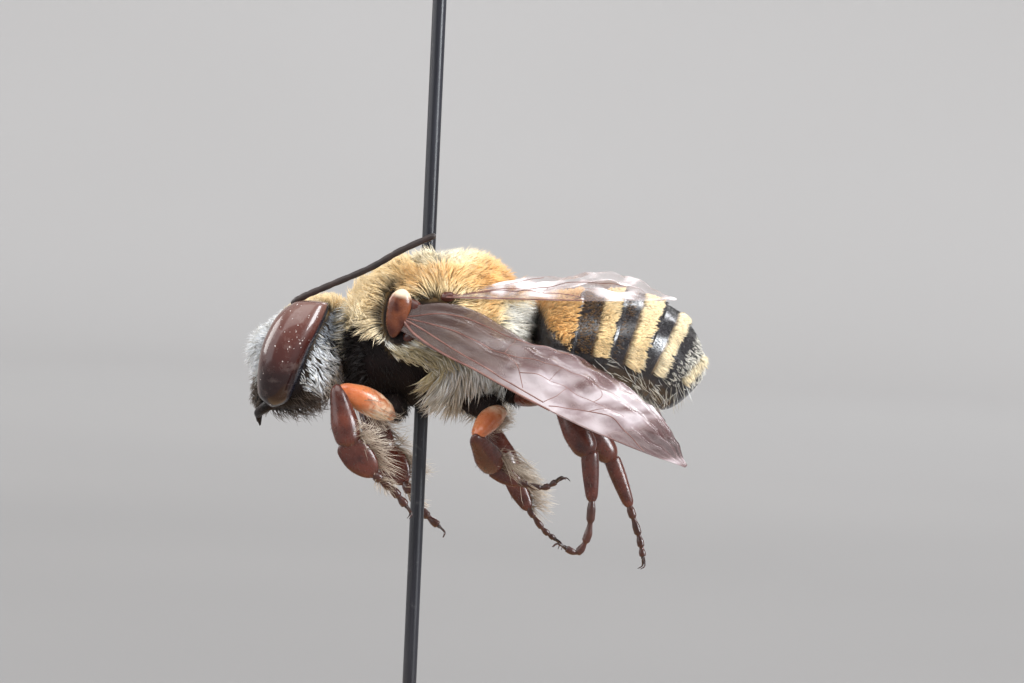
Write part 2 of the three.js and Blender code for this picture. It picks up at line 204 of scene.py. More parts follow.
def rounded_ends(t, cap):
    return np.sqrt(np.clip(1 - (1 - np.clip(np.minimum(t, 1 - t) / cap, 0, 1)) ** 2, 0, 1))


def oval_body(stations, cap=0.12, swell=None):
    """A stack of ovals. Each station is x and z of the underside, x and z of the back, half width."""

    def place(t, a):
        row = smooth(stations, t)
        size = rounded_ends(t, cap)
        if swell is not None:
            size = size * swell(t, a)
        lean = 0.5 * np.sin(a) * size
        x = (row[:, 0] + row[:, 2]) / 2 + (row[:, 2] - row[:, 0]) * lean
        z = (row[:, 1] + row[:, 3]) / 2 + (row[:, 3] - row[:, 1]) * lean
        return np.stack([x, row[:, 4] * np.cos(a) * size, z], 1)

    return Surface(place)


def limb(start, end, radii, flat=1.0, wide=(1, 0, 0.6), cap=0.14, bow=(0, 0, 0)):
    """A tapering round or flattened part between two joints, bowed sideways in its middle."""
    start, end, wide = (np.asarray(v, float) for v in (start, end, wide))
    way = unit(end - start)
    across = unit(wide - way * (wide @ way))
    thin = np.cross(across, way) * flat

    def place(t, a):
        size = smooth(radii, t) * rounded_ends(t, cap)
        middle = start + np.outer(t, end - start) + np.outer(np.sin(np.pi * t), bow)
        return middle + np.outer(size * np.cos(a), across) + np.outer(size * np.sin(a), thin)

    return Surface(place)


def tube(path, radii, sides=8, flat=1.0):
    """Corners and triangles of a closed tube along a path, with its own radius at each point."""
    path = np.asarray(path, float)
    radii = np.broadcast_to(np.asarray(radii, float), len(path))
    way = unit(np.gradient(path, axis=0))
    across = unit(np.cross(way, (0.31, 0.92, 0.24)))
    over = np.cross(way, across)
    angle = 2 * np.pi * np.arange(sides) / sides
    ring = across[:, None] * np.cos(angle)[:, None] + flat * over[:, None] * np.sin(angle)[:, None]
    corners = (path[:, None] + ring * radii[:, None, None]).reshape(-1, 3)
    corners = np.vstack([corners, path[:1], path[-1:]])
    i, j = np.meshgrid(np.arange(len(path) - 1), np.arange(sides), indexing="ij")
    p, q = (i * sides + j).ravel(), (i * sides + (j + 1) % sides).ravel()
    rim, turn = np.arange(sides), (np.arange(sides) + 1) % sides
    last = (len(path) - 1) * sides
    start, end = np.full(sides, len(corners) - 2), np.full(sides, len(corners) - 1)
    triangles = np.vstack(
        [
            np.stack([p, q, p + sides], 1),
            np.stack([q, q + sides, p + sides], 1),
            np.stack([start, turn, rim], 1),
            np.stack([end, last + rim, last + turn], 1),
        ]
    )
    return corners, triangles


# %% [markdown]
# ## Camera, floor and light
# A museum photographer would shoot such a small thing from far back with a long lens, almost level with it,
# so that the body isn't stretched by perspective. The camera is written as a point, a right-hand way and an
# up way, leaning by the 2.6 degrees that make the pin slant. A pale bowl is floor and backdrop in one, which
# leaves no horizon line. Broad soft lamps give wide gentle highlights on shell, eye and wing.

# %% Camera
LENS = 135.0
SENSOR = 36.0
CAMERA_ROLL = math.radians(2.6)
CAMERA_FALL = math.radians(2.5)
CAMERA_TARGET = np.array([2.82, -0.01, 23.257])  # millimetres above the floor's centre
CAMERA_DISTANCE = 123.87

level = np.array([1.0, 0.0, 0.0])
upright = np.array([0.0, math.sin(CAMERA_FALL), math.cos(CAMERA_FALL)])
forward = np.array([0.0, math.cos(CAMERA_FALL), -math.sin(CAMERA_FALL)])
right = math.cos(CAMERA_ROLL) * level + math.sin(CAMERA_ROLL) * upright
up = math.cos(CAMERA_ROLL) * upright - math.sin(CAMERA_ROLL) * level
spot = (CAMERA_TARGET - CAMERA_DISTANCE * forward) * MM

camera_data = bpy.data.cameras.new("camera")
camera_data.lens, camera_data.sensor_width = LENS, SENSOR
camera_data.clip_start, camera_data.clip_end = 0.001, 10.0
camera = bpy.data.objects.new("camera", camera_data)
bpy.context.scene.collection.objects.link(camera)
camera.matrix_world = Matrix(
    [[*axis_row, place] for axis_row, place in zip(np.stack([right, up, -forward], 1), spot)] + [[0, 0, 0, 1]]
)
bpy.context.scene.camera = camera
bpy.context.scene.view_settings.view_transform = "Standard"
print("camera at", spot.round(4), "metres")


# %% [markdown]
# ## A short way to write materials
# A material in Blender is a web of nodes. Written out in full it is long, so one helper adds a node and
# joins it up: a plain value is typed into the socket, and a socket of another node is linked to it.


# %% Material helpers
class Finish:
    """A material whose nodes are added one call at a time round a Principled shader."""

    def __init__(self, name, **shader):
        self.material = bpy.data.materials.new(name)
        self.material.use_nodes = True
        self.tree = self.material.node_tree
        self.shader = self.tree.nodes["Principled BSDF"]
        self.set(self.shader, shader)
        self.here = self.add("ShaderNodeTexCoord").outputs["Object"]

    def set(self, node, inputs):
        for name, value in inputs.items():
            socket = node.inputs[int(name[1:]) if name[0] == "_" else name.replace("_", " ")]
            if isinstance(value, bpy.types.NodeSocket):
                self.tree.links.new(value, socket)
            elif socket.type == "RGBA" and len(value) == 3:
                socket.default_value = (*value, 1)
            else:
                socket.default_value = value

    def add(self, kind, settings=None, **inputs):
        node = self.tree.nodes.new(kind)
        for name, value in (settings or {}).items():
            setattr(node, name, value)
        self.set(node, inputs)
        return node

    def noise(self, size, detail=3.0, rough=0.55, warp=0.0, where=None):
        """Cloudy noise from 0 to 1 with lumps of about that many millimetres."""
        where = where or self.here
        node = self.add("ShaderNodeTexNoise", Vector=where, Scale=1 / (size * MM), Detail=detail)
        self.set(node, {"Roughness": rough, "Distortion": warp})
        return node.outputs["Fac"]

    def cells(self, size, feature="F1"):
        node = self.add("ShaderNodeTexVoronoi", {"feature": feature}, Vector=self.here, Scale=1 / (size * MM))
        return node.outputs["Distance"]

    def stretched(self, x, y, z):
        return self.add("ShaderNodeMapping", Vector=self.here, Scale=(x, y, z)).outputs["Vector"]

    def value(self, label):
        return self.add("ShaderNodeAttribute", {"attribute_name": label}).outputs["Fac"]

    def range(self, x, low, high, to_low=0.0, to_high=1.0):
        node = self.add("ShaderNodeMapRange", {"interpolation_type": "SMOOTHSTEP"}, Value=x)
        self.set(node, {"From_Min": low, "From_Max": high, "To_Min": to_low, "To_Max": to_high})
        return node.outputs["Result"]

    def ramp(self, x, *stops):
        """A colour ramp from pairs of place and colour."""
        node = self.add("ShaderNodeValToRGB", Fac=x)
        band = node.color_ramp.elements
        while len(band) < len(stops):
            band.new(0.5)
        for element, (place, colour) in zip(band, stops):
            element.position, element.color = place, (*colour, 1)
        return node.outputs["Color"]

    def mix(self, share, first, second, blend="MIX"):
        node = self.add("ShaderNodeMix", {"data_type": "RGBA", "blend_type": blend}, _0=share)
        self.set(node, {"_6": first, "_7": second})
        return node.outputs[2]

    def maths(self, operation, first, second=0.0):
        return self.add("ShaderNodeMath", {"operation": operation}, _0=first, _1=second).outputs[0]

    def bump(self, height, depth, strength=1.0, under=None):
        """Lets height, from 0 to 1, raise the surface by depth millimetres."""
        node = self.add("ShaderNodeBump", Height=height, Distance=depth * MM, Strength=strength)
        if under is not None:
            self.set(node, {"Normal": under})
        return node.outputs["Normal"]

    def done(self, **shader):
        self.set(self.shader, shader)
        return self.material


# %% Floor and backdrop
floor_finish = Finish("pale_paper", Roughness=0.85)
paper_reach = floor_finish.add("ShaderNodeVectorMath", {"operation": "LENGTH"}, _0=floor_finish.here)
paper_reach = paper_reach.outputs["Value"]
# Painted shade: the paper is darker near the middle of the floor and paler up the wall, to even out the stronger light
# falling on the floor.
paper_colour_with_painted_shade = floor_finish.mix(
    floor_finish.range(paper_reach, 0.1, 0.68), (0.185, 0.18, 0.178), (0.54, 0.53, 0.525)
)
paper_cloud = floor_finish.range(floor_finish.noise(160, 2), 0.3, 0.7, 0.0, 0.16)
paper_colour_with_painted_shade = floor_finish.mix(paper_cloud, paper_colour_with_painted_shade, (0.36, 0.345, 0.335))
paper_grain = floor_finish.bump(floor_finish.noise(0.6), 0.02, 0.3)
floor_finish = floor_finish.done(Base_Color=paper_colour_with_painted_shade, Normal=paper_grain)

BOWL_FLOOR, BOWL_CURVE, BOWL_HEIGHT = 420.0, 260.0, 380.0
arc = np.linspace(0, math.pi / 2, 24)
radii = np.concatenate([[2.0, 150.0], BOWL_FLOOR + BOWL_CURVE * np.sin(arc), [BOWL_FLOOR + BOWL_CURVE]])
heights = np.concatenate([[0, 0], BOWL_CURVE * (1 - np.cos(arc)), [BOWL_HEIGHT]])
spokes = np.linspace(0, 2 * math.pi, 96, endpoint=False)
bowl = np.stack(
    [np.outer(radii, np.cos(spokes)), np.outer(radii, np.sin(spokes)), np.outer(heights, np.ones(96))], 2
)
i, j = np.meshgrid(np.arange(len(radii) - 1), np.arange(96), indexing="ij")
p, q = (i * 96 + j).ravel(), (i * 96 + (j + 1) % 96).ravel()
quads = np.stack([p, p + 96, q + 96, q], 1).tolist() + [list(range(95, -1, -1))]
backdrop_mesh = bpy.data.meshes.new("backdrop")
backdrop_mesh.from_pydata((bowl.reshape(-1, 3) * MM).tolist(), [], quads)
backdrop_mesh.shade_smooth()
backdrop_mesh.materials.append(floor_finish)
backdrop = bpy.data.objects.new("backdrop", backdrop_mesh)
bpy.context.scene.collection.objects.link(backdrop)


# %% Lamps
def lamp(name, place, aim, width, height, power, colour):
    """A soft oblong lamp. Places and sizes are in millimetres."""
    data = bpy.data.lights.new(name, "AREA")
    data.shape, data.size, data.size_y = "RECTANGLE", width * MM, height * MM
    data.energy, data.color = power, colour
    thing = bpy.data.objects.new(name, data)
    bpy.context.scene.collection.objects.link(thing)
    thing.location = Vector(place) * MM
    thing.rotation_euler = (Vector(aim) - Vector(place)).to_track_quat("-Z", "Y").to_euler()


BEE_MIDDLE = (2, 0, BEE_HEIGHT)
lamp("window_lamp", (310, -200, 125), BEE_MIDDLE, 140, 200, 2.2, (0.93, 0.965, 1.0))
lamp("key_lamp", (-60, -250, 400), BEE_MIDDLE, 430, 380, 1.85, (1.0, 0.985, 0.965))
lamp("back_lamp", (160, 260, 380), BEE_MIDDLE, 240, 200, 1.5, (0.97, 0.98, 1.0))
lamp("fill_lamp", (-300, -160, 110), BEE_MIDDLE, 260, 260, 0.45, (0.97, 0.98, 1.0))
lamp("face_lamp", (-330, 90, 170), BEE_MIDDLE, 220, 220, 1.2, (1.0, 0.99, 0.97))
lamp("backdrop_lamp", (0, 280, 330), (0, 660, 40), 500, 160, 0.36, (1.0, 0.99, 0.99))
world = bpy.data.worlds.new("room")
world.use_nodes = True
world.node_tree.nodes["Background"].inputs["Color"].default_value = (0.94, 0.96, 1.0, 1)
world.node_tree.nodes["Background"].inputs["Strength"].default_value = 0.36
bpy.context.scene.world = world

# %% [markdown]
# ## Colours of shell and coat
# The bee's shell is black-brown everywhere, and its pattern is made by hair: whitish on the cheeks and
# flanks, cream and gold on the back, orange-gold behind. One number called zone picks the colour of a hair
# from a single row of coat colours, and the skin below reads the same number, so the markings agree even
# where the coat is thin. Hair could be one colour, but here each hair is painted darker towards its root, a
# painted shade for the light lost among its neighbours, and no two hairs are quite alike.

# %% Coat colours
OLIVE, WHITE, CREAM, PALE_GOLD, ORANGE_GOLD = 0.0, 0.2, 0.45, 0.72, 1.0
COAT_COLOURS = (
    (OLIVE, (0.56, 0.47, 0.28)),
    (WHITE, (0.86, 0.88, 0.90)),
    (CREAM, (0.95, 0.86, 0.65)),
    (PALE_GOLD, (0.88, 0.66, 0.35)),
    (ORANGE_GOLD, (0.82, 0.46, 0.15)),
)


WARM_TINTS = ((0.0, (0.45, 0.38, 0.28)), (0.5, (0.9, 0.87, 0.8)), (1.0, (1, 1, 1)))
COOL_TINTS = ((0.0, (0.50, 0.50, 0.52)), (0.5, (0.9, 0.92, 0.96)), (1.0, (1, 1, 1)))


def coat_finish(name, root_shade=0.26, tints=WARM_TINTS):
    finish = Finish(name, Roughness=0.55, Specular_IOR_Level=0.35, Sheen_Weight=0.25, Sheen_Roughness=0.5)
    colour = finish.ramp(finish.value("zone"), *COAT_COLOURS)
    own = finish.ramp(finish.value("tint"), *tints)
    colour = finish.mix(1.0, colour, own, "MULTIPLY")
    # Painted shade: each hair is darkened towards its root by root_shade, for the light lost among its neighbours.
    length = finish.ramp(finish.value("along"), (0.0, (root_shade,) * 3), (0.6, (1, 1, 1)), (1.0, (1, 1, 1)))
    return finish.done(Base_Color=finish.mix(1.0, colour, length, "MULTIPLY"))


def dark_hair_finish(name, colour, tip):
    finish = Finish(name, Roughness=0.45, Specular_IOR_Level=0.22)
    base = finish.ramp(finish.value("along"), (0.0, colour), (1.0, tip))
    own = finish.ramp(finish.value("tint"), (0.0, (0.6, 0.6, 0.6)), (1.0, (1, 1, 1)))
    return finish.done(Base_Color=finish.mix(1.0, base, own, "MULTIPLY"))


def shell_finish(name, tones, roughness=0.3, pit=0.07, pit_depth=0.012, gloss=0.03):
    """Hard black-brown shell with fine close pits, and the coat's colours where fur grows on it."""
    finish = Finish(name, Specular_IOR_Level=0.12 + 1.2 * gloss, Coat_Weight=gloss, Coat_Roughness=0.2)
    tone = finish.ramp(finish.noise(0.6), (0.3, tones[0]), (0.7, tones[1]))
    fur = finish.mix(1.0, finish.ramp(finish.value("zone"), *COAT_COLOURS), (0.22, 0.17, 0.12), "MULTIPLY")
    colour = finish.mix(finish.value("fur"), tone, fur)
    pits = finish.range(finish.cells(pit), 0.15, 0.45)
    fine = finish.bump(finish.noise(0.03), 0.004, 0.6)
    rough = finish.range(finish.noise(0.25), 0.3, 0.7, roughness - 0.07, roughness + 0.1)
    rough = finish.maths("MAXIMUM", rough, finish.maths("MULTIPLY", finish.value("fur"), 0.85))
    return finish.done(Base_Color=colour, Roughness=rough, Normal=finish.bump(pits, pit_depth, 0.9, fine))


coat = coat_finish("soft_coat")
cheek_white = coat_finish("cheek_white", 0.3, COOL_TINTS)
face_white = coat_finish("face_white", 0.75, COOL_TINTS)
black_hair = dark_hair_finish("black_hair", (0.007, 0.006, 0.006), (0.022, 0.017, 0.015))
brown_hair = dark_hair_finish("brown_hair", (0.03, 0.02, 0.015), (0.25, 0.20, 0.165))
tawny_hair = dark_hair_finish("tawny_hair", (0.08, 0.035, 0.012), (0.40, 0.22, 0.08))
fringe_hair = dark_hair_finish("fringe_hair", (0.36, 0.25, 0.17), (0.82, 0.72, 0.60))
grey_hair = dark_hair_finish("grey_hair", (0.06, 0.065, 0.075), (0.62, 0.67, 0.74))
head_shell = shell_finish("head_shell", ((0.005, 0.004, 0.005), (0.011, 0.008, 0.009)), 0.45)
thorax_shell = shell_finish("thorax_shell", ((0.004, 0.003, 0.003), (0.010, 0.006, 0.006)), 0.6, gloss=0.0)
abdomen_shell = shell_finish("abdomen_shell", ((0.006, 0.005, 0.007), (0.015, 0.011, 0.013)), 0.2, 0.05, 0.007, 0.42)

# %% [markdown]
# ## How a coat is made
# Blender's own hair looks fine in a render but is lost when the model is exported, so every hair here is a
# thin closed spike with three sides. A hair starts inside the skin, leaves it at some lift, and bends over
# to the lie of the coat. Neighbours are pulled together towards a few leaders, which gives the small locks
# of a real coat. Each hair gets a tiny patch of its own on an unwrap of its skin, at its root.

# %% Comb a coat
PATCH = 0.003  # each hair's patch on the unwrap
BURIED = 0.04  # millimetres of hair inside the skin


def spikes(line, width, facing):
    """Closed three-sided spikes along lines of shape (hairs, points, 3). The last point is the tip."""
    hairs, points = line.shape[:2]
    way = unit(np.gradient(line, axis=1))
    across = unit(np.cross(way, facing[:, None]))
    over = np.cross(way, across)
    taper = 1 - 0.7 * np.linspace(0, 1, points)[: points - 1] ** 1.5
    angles = 2 * np.pi * np.arange(3) / 3
    ring = across[:, :-1, None] * np.cos(angles)[:, None] + over[:, :-1, None] * np.sin(angles)[:, None]
    size = (width[:, None] * taper)[:, :, None, None] / 2
    corners = np.concatenate([(line[:, :-1, None] + ring * size).reshape(hairs, -1, 3), line[:, -1:]], 1)
    faces = [(0, 2, 1)]
    for row in range(points - 2):
        for side in range(3):
            p, q = 3 * row + side, 3 * row + (side + 1) % 3
            faces += [(p, q, p + 3), (q, q + 3, p + 3)]
    tip, last = corners.shape[1] - 1, 3 * (points - 2)
    faces += [(last + side, last + (side + 1) % 3, tip) for side in range(3)]
    triangles = np.arange(hairs)[:, None, None] * corners.shape[1] + np.array(faces)[None]
    return corners, triangles.reshape(-1, 3)


class Coat:
    """Hairs that share a finish, gathered from several surfaces and made as one piece."""

    def __init__(self):
        self.parts, self.count = [], 0

    def grow(self, surface, roots, length, lift, lie, width=0.03, bend=0.7, locks=0.35, zone=0.0, points=4,
             stray=0.16, tile=(0, 1), group=12):
        """lift 1 stands straight out and 0 lies flat. lie is the way a lying hair points."""
        t, a = roots
        if not len(t):
            return self
        root, out = surface.place(t, a), surface.out(t, a)
        length = np.broadcast_to(length, len(t)) * dice.uniform(0.75, 1.15, len(t))
        lift = np.broadcast_to(lift, len(t))[:, None]
        lie = np.broadcast_to(lie, root.shape)
        lie = unit(lie - out * np.einsum("ij,ij->i", lie, out)[:, None] + 1e-6)
        rough = np.stack([ripple(root, 0.9, 10 + k) for k in range(3)], 1) * 0.28
        start = unit(out * lift + lie * (1 - lift) + rough * 0.6 + dice.normal(size=root.shape) * stray)
        end = unit(start * (1 - bend) + unit(lie + out * 0.15) * bend + rough + dice.normal(size=root.shape) * stray)
        s = np.linspace(0, 1, points)[None, :, None]
        curve = start[:, None] * s + (end - start)[:, None] * s * s * 0.75
        leaders = max(1, len(t) // group)
        tree = KDTree(leaders)
        for k in range(leaders):
            tree.insert(root[k], k)
        tree.balance()
        leader = np.array([tree.find(place)[1] for place in root])
        line = root[:, None] + curve * length[:, None, None]
        goal = root[leader][:, None] + curve[leader] * length[:, None, None]
        pull = (locks * s**1.4) * dice.uniform(0.4, 1.3, len(t))[:, None, None]
        line = line + (goal - line) * pull
        line[:, 0] -= out * BURIED
        corners, triangles = spikes(line, np.broadcast_to(width, len(t)) * dice.uniform(0.75, 1.2, len(t)), out)
        per = corners.shape[1]
        along = np.append(np.repeat(np.linspace(0, 1, points)[:-1], 3), 1.0)
        side = np.append(np.tile([0.0, 0.5, 1.0], points - 1), 0.5)
        place = np.stack([tile[0] + (tile[1] - tile[0]) * (a / (2 * np.pi)) % 1, t], 1) * (1 - PATCH)
        patch = place[:, None] + PATCH * np.stack([side, along], 1)[None]
        own, lock = dice.normal(size=len(t)), dice.normal(size=leaders)[leader]
        tint = np.clip(0.58 + 0.14 * own + 0.17 * lock + 0.15 * ripple(root, 1.4, 77), 0, 1)
        zone = np.broadcast_to(zone, len(t)) + 0.035 * own + 0.03 * lock
        self.parts.append(
            (
                corners.reshape(-1, 3),
                triangles + self.count,
                patch.reshape(-1, 2),
                np.tile(along, len(t)),
                np.repeat(tint, per),
                np.repeat(np.clip(zone, 0, 1), per),
            )
        )
        self.count += len(t) * per
        return self

    def make(self, name, finish=None, slot="coat"):
        corners, triangles, patches, along, tint, zone = (np.concatenate(rows) for rows in zip(*self.parts))
        values = {"along": along, "tint": tint, "zone": zone}
        return make_piece(name, corners, triangles, finish or coat, slot, (), values, patches)


def part_of(roots, chosen):
    return roots[0][chosen], roots[1][chosen]


def skin(surface, rows, columns, markings, name, finish, slot, nodes):
    """The skin of a surface, with the coat's colours where markings says fur grows."""
    corners, triangles, t, a = surface.grid(rows, columns)
    fur, zone = markings(corners, surface.out(np.clip(t, 0.005, 0.995), a), t)
    return make_piece(name, corners, triangles, finish, slot, nodes, {"fur": fur, "zone": zone})


# %% [markdown]
# ## Thorax
# The thorax is a rounded box of muscle under a thick coat, 0.5 mm deep on the back. Its hair is cream and
# gold above, paler on the very top, partly its own colour and partly a painted highlight, and orange-gold on
# the raised shield at the rear. A bare black patch lies low behind the head, and long whitish hair hangs from
# the rear of the flank. A bare black ring round the wing scale stands in for the shadow between hair and
# scale. The skin is the same stack of ovals as the solid, drawn in by the depth of the coat.

# %% Thorax skin and markings
THORAX = oval_body(
    [
        (-2.42, -1.35, -2.35, 0.1, 1.15),
        (-2.15, -2.15, -2.1, 0.85, 1.65),
        (-1.2, -2.38, -1.4, 1.5, 2.08),
        (-0.2, -2.45, -0.4, 1.9, 2.22),
        (0.9, -2.3, 0.8, 2.12, 2.2),
        (1.9, -2.05, 1.85, 1.9, 1.95),
        (2.6, -1.6, 2.55, 1.2, 1.5),
        (2.95, -1.1, 2.95, 0.3, 1.0),
    ]
)


BARE_EDGE = ((-2.4, 0.05), (-1.4, 0.0), (-1.0, -0.75), (0.1, -1.05), (0.5, -1.4), (0.8, -1.9), (2.2, -1.95))


def thorax_markings(p, n, t):
    """How thick the fur is and which coat colour it has, at each place."""
    x, z = p[:, 0], p[:, 2]
    edge = np.interp(x, *np.array(BARE_EDGE).T) + 0.1 * ripple(p, 0.8, 41)
    bare = fade(z, edge + 0.14, edge - 0.14)
    bare = np.maximum(bare, fade(x, 2.4, 2.8) * fade(z, 0.1, -0.3))
    # Hair is left off round the wing scale and hinge so the black shell shows; round the scale this bare black stands
    # in for the shadow between hair and scale.
    scale_edge = np.hypot((x + 0.8) / 0.55, (z - 0.5) / 1.0)
    hinge_edge = np.hypot((x - 0.15) / 0.95, (z - 0.52) / 0.55)
    bare = np.maximum(bare, fade(np.minimum(scale_edge, hinge_edge), 1.1, 0.85) * (np.abs(p[:, 1]) > 1.2))
    rear = fade(x, 0.9, 2.0) * fade(z, -0.4, 0.6)
    # The top of the back is painted a paler cream: partly the hair's colour, partly a painted highlight of the light
    # from above.
    pale_summit_and_painted_highlight = fade(z, 1.65, 2.05) * fade(x, 1.4, 0.5)
    pale_rear = fade(x, 1.8, 2.3) * fade(z, 1.25, 0.8)
    tan_side = fade(x, -0.9, -0.3) * fade(z, 1.0, 1.4) * fade(z, 2.0, 1.7)
    flank = fade(z, 0.0, -0.5)
    hanging = fade(x - 0.35 * z, 1.0, 1.4) * fade(z, -0.45, -0.8)
    zone = PALE_GOLD - 0.08 - 0.22 * pale_summit_and_painted_highlight + 0.22 * rear - 0.12 * fade(z, 0.8, 0.1) * fade(x, -0.6, -1.6)
    zone = zone + 0.2 * tan_side
    zone = zone * (1 - pale_rear) + (WHITE + 0.05) * pale_rear
    zone = zone * (1 - flank) + OLIVE * flank
    return np.clip(1 - bare, 0, 1), zone * (1 - hanging) + WHITE * hanging


skin(THORAX, 90, 96, thorax_markings, "thorax_skin", thorax_shell, "coat", ["thorax"])


# %% Thorax coat
def thorax_lie(p, n):
    """Up and forward over the front, back over the rear, back along the flanks and down below them."""
    back = (fade(p[:, 0], -0.7, 1.8) * 2 - 1) * (1 - 0.75 * fade(p[:, 0], -1.4, -2.1))
    top = fade(n[:, 2], -0.15, 0.5)
    down = fade(p[:, 0] - 0.35 * p[:, 2], 0.3, 1.1) * fade(p[:, 2], -0.3, -0.9)
    side_lie = np.stack([1.0 - 1.35 * down + 0.5 * (p[:, 0] - 1.2) * down, 0 * down, -0.25 - 1.0 * down], 1)
    top_lie = np.stack([0.8 * back, 0.3 * p[:, 1], 0.75 - 0.4 * np.abs(back)], 1)
    ahead = (fade(p[:, 0], -0.8, -1.4) * fade(p[:, 2], 1.0, 0.4))[:, None]
    side_lie = side_lie * (1 - ahead) + np.array([0.45, 0, -1.0]) * ahead
    return side_lie * (1 - top[:, None]) + top_lie * top[:, None]


def thorax_hair(count, wanted, name, points=4):
    def density(p, n, t, a):
        hanging = fade(p[:, 2], -0.5, -0.9)
        return thorax_markings(p, n, t)[0] ** 1.5 * wanted(p, n) * (1 - 0.45 * hanging)

    roots = THORAX.scatter(count, density)
    p, n = THORAX.place(*roots), THORAX.out(*roots)
    zone = thorax_markings(p, n, roots[0])[1]
    hanging = fade(p[:, 0] - 0.35 * p[:, 2], 0.5, 1.2) * fade(p[:, 2], -0.4, -1.0)
    top = fade(n[:, 2], 0.0, 0.6)
    collar = fade(p[:, 0], -1.4, -1.9)
    length = 0.6 + 0.12 * top + 0.55 * hanging - 0.08 * collar + 0.14 * ripple(p, 1.1, 3)
    length = length + 0.4 * fade(p[:, 0], 2.0, 2.6)
    lift = 0.34 + 0.46 * top - 0.08 * hanging + 0.12 * collar
    width = 0.04 + 0.012 * hanging
    Coat().grow(THORAX, roots, length, lift, thorax_lie(p, n), width, 0.5, 0.75, zone, points, 0.16, group=9).make(name)


for side_name, side in SIDES.items():
    thorax_hair(9600, lambda p, n: (p[:, 1] * side > 0) * (p[:, 2] > 0.2), f"thorax_coat_upper_{side_name}")
    thorax_hair(4200, lambda p, n: (p[:, 1] * side > 0) * (p[:, 2] <= 0.2), f"thorax_coat_lower_{side_name}")


def bare(p, n, t):
    return (1 - thorax_markings(p, n, t)[0]) * (p[:, 2] < 0.2)


def dark_thorax_hair(count, density, length, lift, lie, name, width):
    roots = THORAX.scatter(count, density)
    hair = Coat().grow(THORAX, roots, length, lift, lie, width, 0.5, 0.3, OLIVE, 3, 0.25)
    return hair.make(name, black_hair)


dark_thorax_hair(1900, lambda p, n, t, a: bare(p, n, t), 0.24, 0.4, (0.5, 0, -1.0), "thorax_dark_down", 0.02)
dark_thorax_hair(
    900,
    lambda p, n, t, a: bare(p, n, t) * fade(p[:, 0], -1.5, -2.0) * (p[:, 2] > -2.1),
    0.55,
    0.6,
    (-1.0, 0, -0.35),
    "neck_dark_fringe",
    0.03,
)

# %% [markdown]
# ## Head
# Seen from the side the head is mostly eye. In front of the eye is the face, covered by a dense whitish
# moustache; behind it the cheek, black with short grey-white hairs; on top golden fuzz. The head skin is an
# oval body that stands up: its underside is the face and its back is the rear of the head.

# %% Head skin
HEAD = oval_body(
    [
        (-5.2, -2.85, -4.0, -2.75, 0.8),
        (-5.38, -2.45, -3.3, -2.4, 1.2),
        (-5.38, -1.85, -2.8, -1.8, 1.5),
        (-5.3, -1.25, -2.6, -1.1, 1.62),
        (-5.15, -0.7, -2.55, -0.45, 1.66),
        (-4.95, -0.2, -2.6, 0.1, 1.62),
        (-4.66, 0.2, -2.75, 0.5, 1.4),
        (-4.3, 0.55, -3.1, 0.8, 0.9),
    ]
)

# %% [markdown]
# ## Eyes
# A bee's compound eye is a tall bean-shaped dome of thousands of tiny lenses. At this size they melt into a
# smooth gloss, so the lenses are a very fine bump. The dome is a stack of ovals again, because the eye is
# blunt and broad at the top and narrow below, which no simple ball gives. The eye is a dusty red-brown,
# painted lighter on top by painted light from above and darker, nearly black maroon, below and behind by
# painted shade, with a painted dark rim of shade along its rear edge. A few specks of dust sit on the gloss
# as small chips of their own.

# %% Eye shape
EYE = np.array(
    [
        # front x, rear x, z, middle y, half depth
        (-5.02, -4.62, -2.62, 1.2, 0.4),
        (-5.2, -4.22, -2.3, 1.3, 0.62),
        (-5.24, -3.99, -1.75, 1.4, 0.78),
        (-5.21, -3.8, -1.2, 1.45, 0.84),
        (-5.12, -3.62, -0.7, 1.45, 0.85),
        (-4.95, -3.42, -0.25, 1.42, 0.82),
        (-4.76, -3.24, 0.15, 1.35, 0.78),
        (-4.5, -3.1, 0.5, 1.25, 0.72),
        (-4.07, -3.02, 0.83, 1.15, 0.62),
    ]
)


def blunt(wave, power=0.84):
    """Squares a sine a little, which flattens the dome's middle and rounds its edge more tightly."""
    return np.sign(wave) * np.abs(wave) ** power


def eye_surface(side):
    def place(t, a):
        row = smooth(EYE, t)
        size = np.where(t > 0.5, rounded_ends(t, 0.05), rounded_ends(t, 0.13))
        across = blunt(np.sin(a)) * size
        x = (row[:, 0] + row[:, 1]) / 2 + (row[:, 1] - row[:, 0]) / 2 * across
        y = side * (row[:, 3] + row[:, 4] * blunt(np.cos(a)) * size)
        return np.stack([x, y, row[:, 2] - 0.08 * across * fade(t, 1.0, 0.6)], 1)

    return Surface(place)


def in_eye(p, margin=0.03):
    """1 where a place on the head lies inside the outline of an eye."""
    order = EYE[:, 2]
    front = np.interp(p[:, 2], order, EYE[:, 0]) - margin
    rear = np.interp(p[:, 2], order, EYE[:, 1]) + margin
    level_with = (p[:, 2] > order[0]) & (p[:, 2] < order[-1] + margin)
    return level_with & (p[:, 0] > front) & (p[:, 0] < rear) & (np.abs(p[:, 1]) > 0.86)


